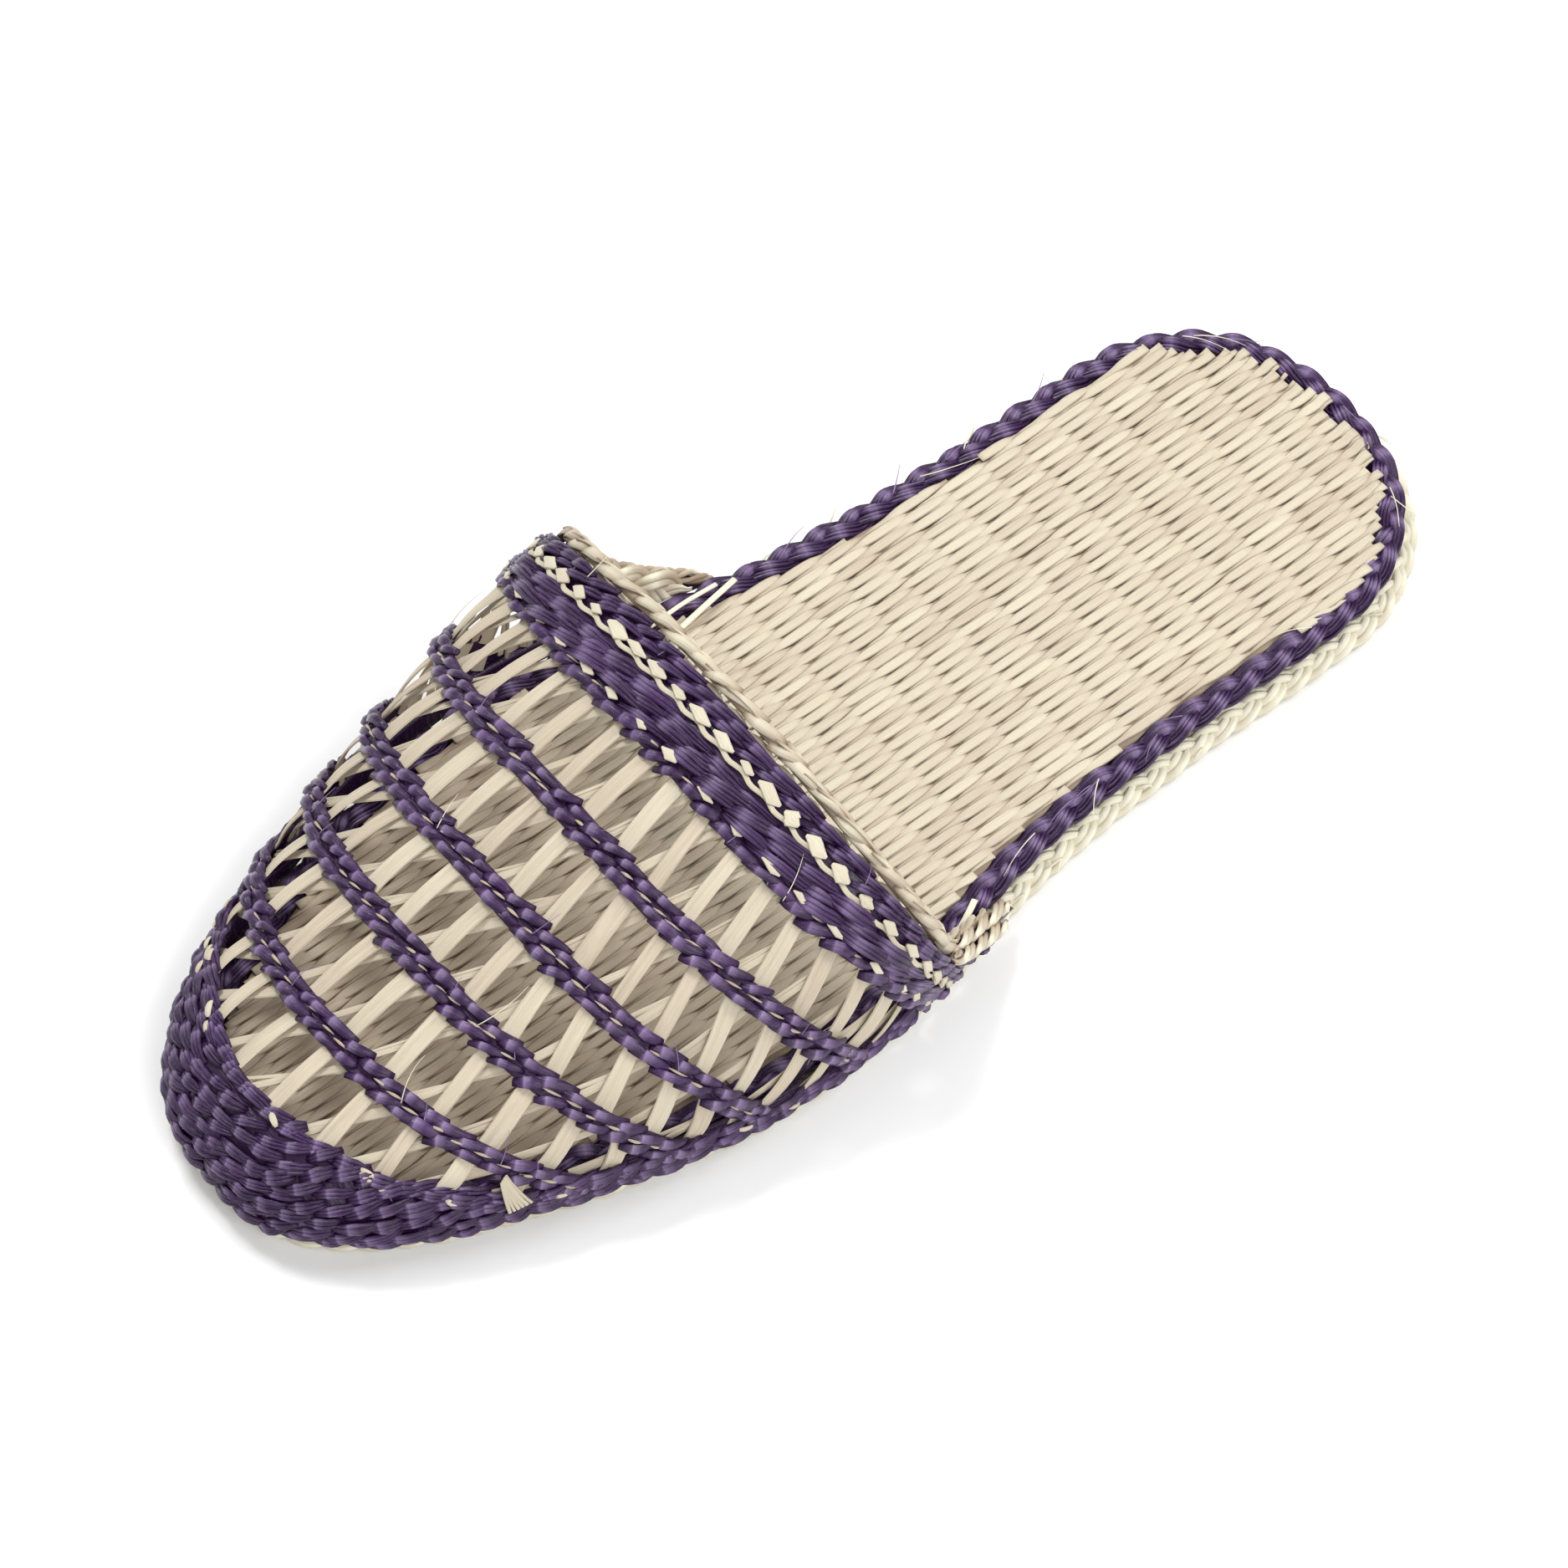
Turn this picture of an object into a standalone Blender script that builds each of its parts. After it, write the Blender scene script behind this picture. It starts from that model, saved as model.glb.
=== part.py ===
"""Woven straw slide sandal, left shoe, closed toe and open back.

The shoe stands on its sole. The toe points to -Y, the heel to +Y, +Z is up, and +X is
the outer side of the foot. All sizes below are millimetres; MM makes them metres where
a mesh is made.
"""

from collections import namedtuple
from math import cos, pi, sin

import bmesh
import bpy
import numpy as np

MM = 0.001

# Gap between pieces that lie against each other
GAP = 0.3

# Sole: the edge line is the outer edge of the purple binding round the insole
HEEL_Y = 127.4
TOE_Y = -126.2
HEEL_ROUND = 36.0
HEEL_POWER = 2.3
TOE_ROUND = 31.0
TOE_POWER = 2.8
EDGE_POINTS = 72
SoleStation = namedtuple("SoleStation", "share_from_heel axis_x half_width")
SOLE = (
    SoleStation(0.00, -6.9, 36.8),
    SoleStation(0.16, -4.7, 37.6),
    SoleStation(0.28, -3.5, 37.6),
    SoleStation(0.42, -2.1, 40.3),
    SoleStation(0.54, -0.4, 46.4),
    SoleStation(0.66, 0.5, 49.0),
    SoleStation(0.80, 1.9, 42.0),
    SoleStation(0.92, 3.3, 30.5),
    SoleStation(1.00, 4.3, 22.8),
)

# Layers of the sole; a braid's place is how far its middle lies outside the edge line
OUTSOLE_THICK = 4.5
INSOLE_BOTTOM = OUTSOLE_THICK + GAP
INSOLE_THICK = 3.2
Braid = namedtuple("Braid", "out half_width bottom top")
OUTSOLE_BRAID = Braid(out=-0.5, half_width=3.0, bottom=0.1, top=4.5)
INSOLE_BRAID = Braid(out=-3.5, half_width=3.0, bottom=INSOLE_BOTTOM + 0.1, top=9.3)
BRAID_SIDES = 8

# Upper: the outer face of its wall stands this far outside the edge line
WALL = 1.6
WALL_OUT = 1.9
BULGE_FADES_BELOW = 20.0
FOOT_Z = OUTSOLE_THICK + GAP
TOE_SQUARENESS = 1.88
COLLAR_SQUARENESS = 2.46
SQUARENESS_RUN = 127.0
UpperSection = namedtuple("UpperSection", "from_toe height side_bulge")
UPPER = (
    UpperSection(0.0, 5.0, 3.0),
    UpperSection(6.0, 12.6, 3.0),
    UpperSection(14.0, 15.7, 3.5),
    UpperSection(25.0, 18.8, 4.0),
    UpperSection(60.0, 30.9, 4.0),
    UpperSection(82.0, 39.5, 4.2),
    UpperSection(110.0, 48.6, 9.0),
    UpperSection(140.0, 53.6, 10.0),
    UpperSection(200.0, 59.5, 10.0),
)

# Lines that run across the upper from sole to sole: y on the crown, how far the ends are
# set back, the extra sweep of the ends along the sole, and the height of the purple rand
LINE_HOOK = 1.32
LINE_SKEW = -0.05
SWEEP_HOOK = 8.0
Line = namedtuple("Line", "crown_y set_back sweep rand")
TIP_INSET = 0.3
TIP = Line(TOE_Y - WALL_OUT + TIP_INSET, 0.0, 0.0, 3.0)
CAP_EDGE = Line(-117.2, 37.0, 0.0, 13.0)
BANDS = (
    Line(-102.3, 28.3, 0.0, 10.5),
    Line(-84.5, 24.4, 0.0, 8.0),
    Line(-68.4, 21.8, 0.0, 5.6),
    Line(-51.7, 24.2, 0.0, 4.8),
)
COLLAR_FRONT = Line(-36.7, 24.1, 0.0, 4.5)
COLLAR_REAR = Line(-21.7, 16.1, 19.2, 5.0)
TOE_ROWS = (0.0, 0.1, 0.28, 0.5, 0.75, 1.0)

# Woven rows between those lines, from toe to collar: gaps each side of the middle one, and
# the pitch of the crossings
WovenRow = namedtuple("WovenRow", "gaps_each_side pitch")
WOVEN_ROWS = (
    WovenRow(4, 10.4),
    WovenRow(4, 9.9),
    WovenRow(5, 9.2),
    WovenRow(7, 8.5),
    WovenRow(8, 8.0),
)
BAND_HALF = 2.4
CROSSING_HALF = 0.17
GAP_END = 0.1
CROSSING_RISE = 0.8

# Each wall line starts and ends with points on its foot, halfway up the rand and on its top,
# and one between there and the woven row. Their order keys lie beyond those of the widest row.
FOOT_KEYS = np.array((-30.0, -29.0, -28.0))
SIDE_KEYS = np.array((-27.0,))
FOOT_POINTS = len(FOOT_KEYS)
END_POINTS = FOOT_POINTS + len(SIDE_KEYS)

# Overlays on the wall
CAP_THICK = 1.5
RAND_CLEAR = 0.6
Rib = namedtuple("Rib", "across height")
BAND_RIBS = (Rib(0.0, 1.3), Rib(0.25, 1.9), Rib(0.5, 1.4), Rib(0.75, 1.9), Rib(1.0, 1.3))
CUFF_RIBS = (
    Rib(0.03, 1.4),
    Rib(0.12, 2.1),
    Rib(0.25, 1.6),
    Rib(0.62, 1.6),
    Rib(0.74, 2.1),
    Rib(0.84, 1.7),
    Rib(0.97, 2.0),
)
COLLAR_BRAID_HALF_WIDTH = 2.0
COLLAR_BRAID_HALF_THICK = 1.7
COLLAR_BRAID_CLEAR = 3.3

# Dense steps for measuring along a line, and the small turn used for slopes
DENSE = np.linspace(0.0, pi, 241)
SMALL_TURN = 0.02
SMALL_STEP = 0.2
SHARP_ANGLE = 0.7

Finish = namedtuple("Finish", "name colour roughness")
STRAW = Finish("natural straw", (0.76, 0.68, 0.48, 1.0), 0.62)
PURPLE = Finish("purple straw", (0.075, 0.035, 0.16, 1.0), 0.42)


def clear_scene():
    for item in list(bpy.data.objects):
        bpy.data.objects.remove(item, do_unlink=True)


def add_material(mesh, finish):
    """Give a piece its own material."""
    made = bpy.data.materials.new("%s %s" % (mesh.name, finish.name))
    made.use_nodes = True
    shader = made.node_tree.nodes["Principled BSDF"]
    shader.inputs["Base Color"].default_value = finish.colour
    shader.inputs["Roughness"].default_value = finish.roughness
    shader.inputs["Metallic"].default_value = 0.0
    mesh.materials.append(made)


def add_object(name, bm, finish):
    """Turn a bmesh in millimetres into a named object in metres."""
    bmesh.ops.scale(bm, vec=(MM, MM, MM), verts=bm.verts)
    mesh = bpy.data.meshes.new(name)
    bm.to_mesh(mesh)
    bm.free()
    add_material(mesh, finish)
    mesh.shade_smooth()
    mesh.set_sharp_from_angle(angle=SHARP_ANGLE)
    made = bpy.data.objects.new(name, mesh)
    bpy.context.scene.collection.objects.link(made)
    return made


def through(table, x):
    """Smooth curve through a table's last column, read at x in its first column."""
    rows = np.array(table)
    xs = rows[:, 0]
    ys = rows[:, -1]
    slopes = np.gradient(ys, xs)
    x = np.clip(x, xs[0], xs[-1])
    i = np.clip(np.searchsorted(xs, x) - 1, 0, len(xs) - 2)
    width = xs[i + 1] - xs[i]
    u = (x - xs[i]) / width
    start = (1 + 2 * u) * (1 - u) ** 2 * ys[i] + u * (1 - u) ** 2 * width * slopes[i]
    end = u * u * (3 - 2 * u) * ys[i + 1] + u * u * (u - 1) * width * slopes[i + 1]
    return start + end


def distance_along(points):
    """Distance from the first point to each point of a path."""
    steps = np.linalg.norm(np.diff(points, axis=0), axis=1)
    return np.concatenate(([0.0], np.cumsum(steps)))


def sole_edge(y, out):
    """Axis and half width of the sole at y, for a line lying out from the edge line."""
    y = np.asarray(y, dtype=float)
    share = (HEEL_Y - y) / (HEEL_Y - TOE_Y)
    axis = through([(row.share_from_heel, row.axis_x) for row in SOLE], share)
    half = through([(row.share_from_heel, row.half_width) for row in SOLE], share) + out
    to_heel = np.clip(1 - (HEEL_Y + out - y) / (HEEL_ROUND + out), 0.0, 1.0)
    to_toe = np.clip(1 - (y - TOE_Y + out) / (TOE_ROUND + out), 0.0, 1.0)
    half = half * (1 - to_heel ** HEEL_POWER) ** (1 / HEEL_POWER)
    return axis, half * (1 - to_toe ** TOE_POWER) ** (1 / TOE_POWER)


def sole_outline(out):
    """Evenly spaced points round the sole, out from the edge line, as an array of x, y."""
    middle = (HEEL_Y + TOE_Y) / 2
    reach = (HEEL_Y - TOE_Y) / 2 + out
    y = middle + reach * np.cos(DENSE)
    axis, half = sole_edge(y, out)
    outer = np.column_stack((axis + half, y))
    inner = np.column_stack((axis - half, y))[::-1]
    loop = np.concatenate((outer, inner[1:]))
    run = distance_along(loop)
    even = np.linspace(0.0, run[-1], EDGE_POINTS, endpoint=False)
    return np.column_stack([np.interp(even, run, loop[:, axis]) for axis in (0, 1)])


def build_mat(name, out, bottom, thick, finish):
    """A flat woven mat inside its braid."""
    bm = bmesh.new()
    face = bm.faces.new([bm.verts.new((x, y, bottom)) for x, y in sole_outline(out)])
    raised = bmesh.ops.extrude_face_region(bm, geom=[face])
    top = [item for item in raised["geom"] if isinstance(item, bmesh.types.BMVert)]
    bmesh.ops.translate(bm, verts=top, vec=(0.0, 0.0, thick))
    bmesh.ops.recalc_face_normals(bm, faces=bm.faces)
    return add_object(name, bm, finish)


def join_rings(bm, rings, closed):
    """Skin a row of equal vertex rings, with flat ends unless the row is closed."""
    pairs = list(zip(rings, rings[1:]))
    if closed:
        pairs.append((rings[-1], rings[0]))
    else:
        bm.faces.new(rings[0])
        bm.faces.new(rings[-1])
    for a, b in pairs:
        for i in range(len(a)):
            j = (i + 1) % len(a)
            bm.faces.new((b[i], a[i], a[j], b[j]))
    bmesh.ops.recalc_face_normals(bm, faces=bm.faces)


def build_sole_braid(name, braid, finish):
    """A plait lying round the sole, as a closed oval tube."""
    path = sole_outline(braid.out)
    along = np.roll(path, -1, axis=0) - np.roll(path, 1, axis=0)
    outward = np.column_stack((along[:, 1], -along[:, 0]))
    outward /= np.linalg.norm(outward, axis=1)[:, None]
    middle = (braid.bottom + braid.top) / 2
    half_height = (braid.top - braid.bottom) / 2
    bm = bmesh.new()
    rings = []
    for point, side in zip(path, outward):
        ring = []
        for step in range(BRAID_SIDES):
            turn = 2 * pi * (step + 0.5) / BRAID_SIDES
            x, y = point + side * braid.half_width * cos(turn)
            ring.append(bm.verts.new((x, y, middle + half_height * sin(turn))))
        rings.append(ring)
    join_rings(bm, rings, closed=True)
    return add_object(name, bm, finish)


def surface(y, turn):
    """Points of the upper's outer face; turn runs from 0 at +X over the crown to pi."""
    from_toe = y - TOE_Y + WALL_OUT
    axis, half = sole_edge(y, WALL_OUT)
    height = through([(row.from_toe, row.height) for row in UPPER], from_toe)
    bulge = through([(row.from_toe, row.side_bulge) for row in UPPER], from_toe)
    grown = np.clip(from_toe / SQUARENESS_RUN, 0.0, 1.0)
    power = 2 / (TOE_SQUARENESS + (COLLAR_SQUARENESS - TOE_SQUARENESS) * grown)
    side = np.cos(turn)
    rise = np.sin(turn)
    taper = np.clip(half / BULGE_FADES_BELOW, 0.0, 1.0)
    reach = half + bulge * taper * 2 * np.abs(side * rise)
    x = axis + reach * np.sign(side) * np.abs(side) ** power
    z = FOOT_Z + height * np.abs(rise) ** power
    return np.column_stack((x, y, z))


def line_y(line, turn):
    """y along a line; only its ends are set back and swept."""
    lift = 1 - np.sin(turn)
    set_back = line.set_back * (1 + LINE_SKEW * np.cos(turn)) * lift ** LINE_HOOK
    return line.crown_y + set_back + line.sweep * lift ** SWEEP_HOOK


def blend(front, rear, share):
    return Line(*(a + (b - a) * share for a, b in zip(front, rear)))


def shifted(line, y):
    return line._replace(crown_y=line.crown_y + y)


def outward_normals(y, turn):
    """Unit normals of the upper's face, level along the foot."""
    inside = np.clip(turn, 2 * SMALL_TURN, pi - 2 * SMALL_TURN)
    across = surface(y, inside + SMALL_TURN) - surface(y, inside - SMALL_TURN)
    along = surface(y + SMALL_STEP, inside) - surface(y - SMALL_STEP, inside)
    normal = np.cross(along, across)
    foot = np.minimum(turn, pi - turn) < SMALL_TURN
    normal[foot, 2] = 0.0
    return normal / np.linalg.norm(normal, axis=1)[:, None]


def line_points(line, turn, height):
    """Points on a line of the upper, raised along the normals."""
    y = line_y(line, turn)
    return surface(y, turn) + outward_normals(y, turn) * np.asarray(height)[..., None]


def turns_at(line, offsets, feet, between=0):
    """Turns at distances from the crown along a line, at distances from both feet, and at a
    number of points between the two."""
    points = surface(line_y(line, DENSE), DENSE)
    run = distance_along(points)
    crown = np.interp(pi / 2, DENSE, run)
    feet = np.asarray(feet, dtype=float)
    far_feet = (run[-1] - feet)[::-1]
    row = crown + np.asarray(offsets, dtype=float)
    if between:
        lead = np.linspace(feet[-1], row[0], between + 2)[1:-1]
        trail = np.linspace(row[-1], far_feet[0], between + 2)[1:-1]
        row = np.concatenate((lead, row, trail))
    wanted = np.concatenate((feet, row, far_feet))
    if np.any(np.diff(wanted) <= 0):
        raise ValueError("a woven row is wider than its line")
    return np.interp(wanted, run, DENSE)


def half_steps(row):
    """Places of gaps and crossings along a row, in pitches from the crown."""
    return np.arange(-2 * row.gaps_each_side - 1, 2 * row.gaps_each_side + 2) / 2


def foot_places(line):
    """Distances from the foot to the points of the rand."""
    return (0.0, line.rand / 2, line.rand)


def wall_turns(line, row):
    return turns_at(line, half_steps(row) * row.pitch, foot_places(line), len(SIDE_KEYS))


def wall_keys(row):
    """Order keys of a wall line's vertices, the same for the same place on any line."""
    ends = np.concatenate((FOOT_KEYS, SIDE_KEYS))
    return np.concatenate((ends, half_steps(row), -ends[::-1]))


def add_points(bm, points):
    return [bm.verts.new(point) for point in points]


def bridge(bm, front, front_keys, rear, rear_keys):
    """Faces between two lines of vertices, matched by their keys."""
    i = 0
    j = 0
    while i < len(front) - 1 or j < len(rear) - 1:
        next_front = front_keys[i + 1] if i < len(front) - 1 else np.inf
        next_rear = rear_keys[j + 1] if j < len(rear) - 1 else np.inf
        if next_front == next_rear:
            bm.faces.new((front[i], rear[j], rear[j + 1], front[i + 1]))
            i += 1
            j += 1
        elif next_front < next_rear:
            bm.faces.new((front[i], rear[j], front[i + 1]))
            i += 1
        else:
            bm.faces.new((front[i], rear[j], rear[j + 1]))
            j += 1


def toe_lines(height):
    """Points of the lines over the toe, from the tip to the cap's edge."""
    edge_turns = wall_turns(CAP_EDGE, WOVEN_ROWS[0])
    points = surface(line_y(CAP_EDGE, edge_turns), edge_turns)
    run = distance_along(points)
    lines = []
    for share in TOE_ROWS[:-1]:
        line = blend(TIP, CAP_EDGE, share)
        dense = surface(line_y(line, DENSE), DENSE)
        path = distance_along(dense)
        turn = np.interp(run / run[-1] * path[-1], path, DENSE)
        lines.append(line_points(line, turn, height))
    lines.append(line_points(CAP_EDGE, edge_turns, height))
    return lines


def build_toe(bm, height):
    """Faces over the toe; returns the vertices along the cap's edge."""
    keys = wall_keys(WOVEN_ROWS[0])
    rows = [add_points(bm, points) for points in toe_lines(height)]
    bm.faces.new(rows[0])
    for front, rear in zip(rows, rows[1:]):
        bridge(bm, front, keys, rear, keys)
    return rows[-1]


def woven_rows():
    """Front line, rear line and gaps of each woven row, from toe to collar."""
    fronts = [CAP_EDGE] + [shifted(band, BAND_HALF) for band in BANDS]
    rears = [shifted(band, -BAND_HALF) for band in BANDS] + [COLLAR_FRONT]
    return list(zip(fronts, rears, WOVEN_ROWS))


def weave(bm, front, rear, front_line, rear_line, row):
    """Crossing ribbons between two lines, raised where they cross, with leaf-shaped gaps."""
    middle_line = blend(front_line, rear_line, 0.5)
    gaps = row.gaps_each_side
    crossings = np.arange(-gaps - 0.5, gaps + 1) * row.pitch
    turn = turns_at(middle_line, crossings, foot_places(middle_line), len(SIDE_KEYS))
    rise = np.zeros(len(turn))
    rise[END_POINTS:-END_POINTS] = CROSSING_RISE
    middle = add_points(bm, line_points(middle_line, turn, rise))
    edge = END_POINTS + 1
    for side in (slice(0, edge), slice(-edge, None)):
        for a, b in ((front[side], middle[side]), (middle[side], rear[side])):
            bridge(bm, a, range(edge), b, range(edge))
    for gap in range(2 * gaps + 1):
        place = (gap - gaps) * row.pitch
        corners = []
        for share, offset in (
            (GAP_END, 0.0),
            (0.5, 0.5 - CROSSING_HALF),
            (1 - GAP_END, 0.0),
            (0.5, CROSSING_HALF - 0.5),
        ):
            line = blend(front_line, rear_line, share)
            at = turns_at(line, (place + offset * row.pitch,), ())
            corners.append(bm.verts.new(line_points(line, at, 0.0)[0]))
        near, left, far, right = corners
        start = END_POINTS + 2 * gap
        f = front[start:start + 3]
        r = rear[start:start + 3]
        m = middle[END_POINTS + gap:END_POINTS + gap + 2]
        bm.faces.new((f[0], m[0], right, near, f[1]))
        bm.faces.new((f[1], near, left, m[1], f[2]))
        bm.faces.new((m[0], r[0], r[1], far, right))
        bm.faces.new((r[1], r[2], m[1], left, far))


def thicken(made, thick, side):
    modifier = made.modifiers.new("wall", "SOLIDIFY")
    modifier.thickness = thick * MM
    modifier.offset = side


def build_upper():
    """The hollow wall, open underneath and at the collar."""
    bm = bmesh.new()
    last = build_toe(bm, 0.0)
    last_keys = wall_keys(WOVEN_ROWS[0])
    for front_line, rear_line, row in woven_rows():
        keys = wall_keys(row)
        front = last
        if front_line is not CAP_EDGE:
            front = add_points(bm, line_points(front_line, wall_turns(front_line, row), 0.0))
            bridge(bm, last, last_keys, front, keys)
        last = add_points(bm, line_points(rear_line, wall_turns(rear_line, row), 0.0))
        last_keys = keys
        weave(bm, front, last, front_line, rear_line, row)
    for share in (0.5, 1.0):
        line = blend(COLLAR_FRONT, COLLAR_REAR, share)
        rear = add_points(bm, line_points(line, wall_turns(line, WOVEN_ROWS[-1]), 0.0))
        bridge(bm, last, last_keys, rear, last_keys)
        last = rear
    thicken(add_object("upper", bm, STRAW), WALL, -1.0)


def build_toe_cap():
    """The purple cap over the toe with its rand along both sides."""
    bm = bmesh.new()
    edge = build_toe(bm, GAP)
    sides = [edge[:FOOT_POINTS], edge[-FOOT_POINTS:]]
    for front_line, rear_line, _ in woven_rows():
        rear_end = shifted(rear_line, -RAND_CLEAR) if rear_line is COLLAR_FRONT else rear_line
        for line in (front_line, blend(front_line, rear_end, 0.5), rear_end):
            if line is CAP_EDGE:
                continue
            turn = turns_at(line, (), foot_places(line))
            points = add_points(bm, line_points(line, turn, GAP))
            for index, rear in enumerate((points[:FOOT_POINTS], points[-FOOT_POINTS:])):
                bridge(bm, sides[index], FOOT_KEYS, rear, FOOT_KEYS)
                sides[index] = rear
    thicken(add_object("toe_cap", bm, PURPLE), CAP_THICK, 1.0)


def build_strip(name, front, rear, ribs, turns, finish):
    """A band lying on the wall between two lines, with ribs along its outer face."""
    under = [Rib(share, GAP) for share in (1.0, 0.5, 0.0)]
    columns = []
    for rib in list(ribs) + under:
        line = blend(front, rear, rib.across)
        columns.append(line_points(line, turns(line), rib.height))
    bm = bmesh.new()
    rings = [add_points(bm, points) for points in zip(*columns)]
    join_rings(bm, rings, closed=False)
    return add_object(name, bm, finish)


def build_bands():
    for index, band in enumerate(BANDS):
        row = WOVEN_ROWS[index + 1]

        def turns(line):
            feet = (line.rand + RAND_CLEAR,)
            return turns_at(line, half_steps(row) * row.pitch, feet, len(SIDE_KEYS))

        front = shifted(band, -BAND_HALF)
        rear = shifted(band, BAND_HALF)
        build_strip("band_%d" % (index + 1), front, rear, BAND_RIBS, turns, PURPLE)


def build_cuff():
    def turns(line):
        return wall_turns(line, WOVEN_ROWS[-1])

    build_strip("collar_cuff", COLLAR_FRONT, COLLAR_REAR, CUFF_RIBS, turns, PURPLE)


def build_collar_braid():
    """The plait along the rear edge of the wall."""
    offsets = half_steps(WOVEN_ROWS[-1]) * WOVEN_ROWS[-1].pitch
    feet = (COLLAR_BRAID_CLEAR, COLLAR_REAR.rand)
    turn = turns_at(COLLAR_REAR, offsets, feet, len(SIDE_KEYS))
    y = line_y(COLLAR_REAR, turn)
    normal = outward_normals(y, turn)
    edge = surface(y, turn)
    along = np.gradient(edge, axis=0)
    back = np.cross(along, normal)
    back /= np.linalg.norm(back, axis=1)[:, None]
    middle = edge - normal * WALL / 2 + back * (COLLAR_BRAID_HALF_WIDTH + GAP)
    bm = bmesh.new()
    rings = []
    for point, away, up in zip(middle, back, normal):
        ring = []
        for step in range(BRAID_SIDES):
            around = 2 * pi * (step + 0.5) / BRAID_SIDES
            reach = away * COLLAR_BRAID_HALF_WIDTH * cos(around)
            ring.append(bm.verts.new(point + reach + up * COLLAR_BRAID_HALF_THICK * sin(around)))
        rings.append(ring)
    join_rings(bm, rings, closed=False)
    add_object("collar_edge_braid", bm, STRAW)


def main():
    clear_scene()
    mat_clear = GAP - OUTSOLE_BRAID.out + OUTSOLE_BRAID.half_width
    build_mat("outsole", -mat_clear, 0.0, OUTSOLE_THICK, STRAW)
    build_sole_braid("outsole_edge_braid", OUTSOLE_BRAID, STRAW)
    mat_clear = GAP - INSOLE_BRAID.out + INSOLE_BRAID.half_width
    build_mat("insole", -mat_clear, INSOLE_BOTTOM, INSOLE_THICK, STRAW)
    build_sole_braid("insole_binding", INSOLE_BRAID, PURPLE)
    build_upper()
    build_toe_cap()
    build_bands()
    build_cuff()
    build_collar_braid()


main()
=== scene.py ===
"""Woven straw slide sandal, left shoe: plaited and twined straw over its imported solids.

Lengths are millimetres in the shoe's own frame: the toe points to -Y, +X is the outer side, and
the sole stands on z = 0. MM makes them metres where a mesh is made. The panel's lengths and the
stage are in metres.
"""

from collections import namedtuple
from math import cos, pi, radians, sin

import bpy
import numpy as np
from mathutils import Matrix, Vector


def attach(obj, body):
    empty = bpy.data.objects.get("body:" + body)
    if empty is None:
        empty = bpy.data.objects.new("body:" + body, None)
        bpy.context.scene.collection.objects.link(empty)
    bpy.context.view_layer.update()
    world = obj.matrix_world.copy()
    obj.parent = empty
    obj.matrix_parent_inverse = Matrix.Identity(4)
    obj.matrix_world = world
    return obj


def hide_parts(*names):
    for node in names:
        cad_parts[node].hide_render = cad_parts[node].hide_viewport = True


bl_info = {
    "name": "Straw Slide Sandal",
    "version": (1, 0, 0),
    "blender": (4, 5, 0),
    "location": "View3D > Sidebar > Sandal",
    "description": "Weaves, plaits and twines the straw of a slide sandal over its solids",
    "category": "Add Mesh",
}

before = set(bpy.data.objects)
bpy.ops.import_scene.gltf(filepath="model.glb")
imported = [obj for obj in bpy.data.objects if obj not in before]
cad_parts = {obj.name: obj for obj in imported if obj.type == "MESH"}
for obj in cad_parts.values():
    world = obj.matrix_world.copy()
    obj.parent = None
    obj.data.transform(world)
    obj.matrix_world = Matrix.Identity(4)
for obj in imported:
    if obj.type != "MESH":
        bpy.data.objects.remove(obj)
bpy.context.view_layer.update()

MM = 0.001
NATURAL = "natural straw"
PURPLE = "purple straw"

# Sole: the edge line is the outer edge of the purple plait round the insole
HEEL_Y = 127.4
TOE_Y = -126.2
HEEL_ROUND = 36.0
HEEL_POWER = 2.3
TOE_ROUND = 31.0
TOE_POWER = 2.8
SoleStation = namedtuple("SoleStation", "share_from_heel axis_x half_width")
SOLE = tuple(SoleStation(*row) for row in (
    (0.00, -6.9, 36.8),
    (0.16, -4.7, 37.6),
    (0.28, -3.5, 37.6),
    (0.42, -2.1, 40.3),
    (0.54, -0.4, 46.4),
    (0.66, 0.5, 49.0),
    (0.80, 1.9, 42.0),
    (0.92, 3.3, 30.5),
    (1.00, 4.3, 22.8),
))
INSOLE_BOTTOM = 4.8
INSOLE_TOP = 8.0
OUTSOLE_TOP = 4.5

# Upper: the outer face of its wall stands this far outside the edge line
WALL = 1.6
WALL_OUT = 1.9
BULGE_FADES_BELOW = 20.0
FOOT_Z = 4.8
TOE_SQUARENESS = 1.88
COLLAR_SQUARENESS = 2.46
SQUARENESS_RUN = 127.0
UpperSection = namedtuple("UpperSection", "from_toe height side_bulge")
UPPER = tuple(UpperSection(*row) for row in (
    (0.0, 5.0, 3.0),
    (6.0, 12.6, 3.0),
    (14.0, 15.7, 3.5),
    (25.0, 18.8, 4.0),
    (60.0, 30.9, 4.0),
    (82.0, 39.5, 4.2),
    (110.0, 48.6, 9.0),
    (140.0, 53.6, 10.0),
    (200.0, 59.5, 10.0),
))

# Lines across the upper: y on the crown, how far the ends are set back, the extra sweep of
# the ends along the sole, and the height of the purple rand
LINE_HOOK = 1.32
LINE_SKEW = -0.05
SWEEP_HOOK = 8.0
Line = namedtuple("Line", "crown_y set_back sweep rand")
TIP = Line(TOE_Y - WALL_OUT + 0.3, 0.0, 0.0, 3.0)
CAP_EDGE = Line(-117.2, 37.0, 0.0, 13.0)
BANDS = (
    Line(-102.3, 28.3, 0.0, 10.5),
    Line(-84.5, 24.4, 0.0, 8.0),
    Line(-68.4, 21.8, 0.0, 5.6),
    Line(-51.7, 24.2, 0.0, 4.8),
)
COLLAR_FRONT = Line(-36.7, 24.1, 0.0, 4.5)
COLLAR_REAR = Line(-21.7, 16.1, 19.2, 5.0)
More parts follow.
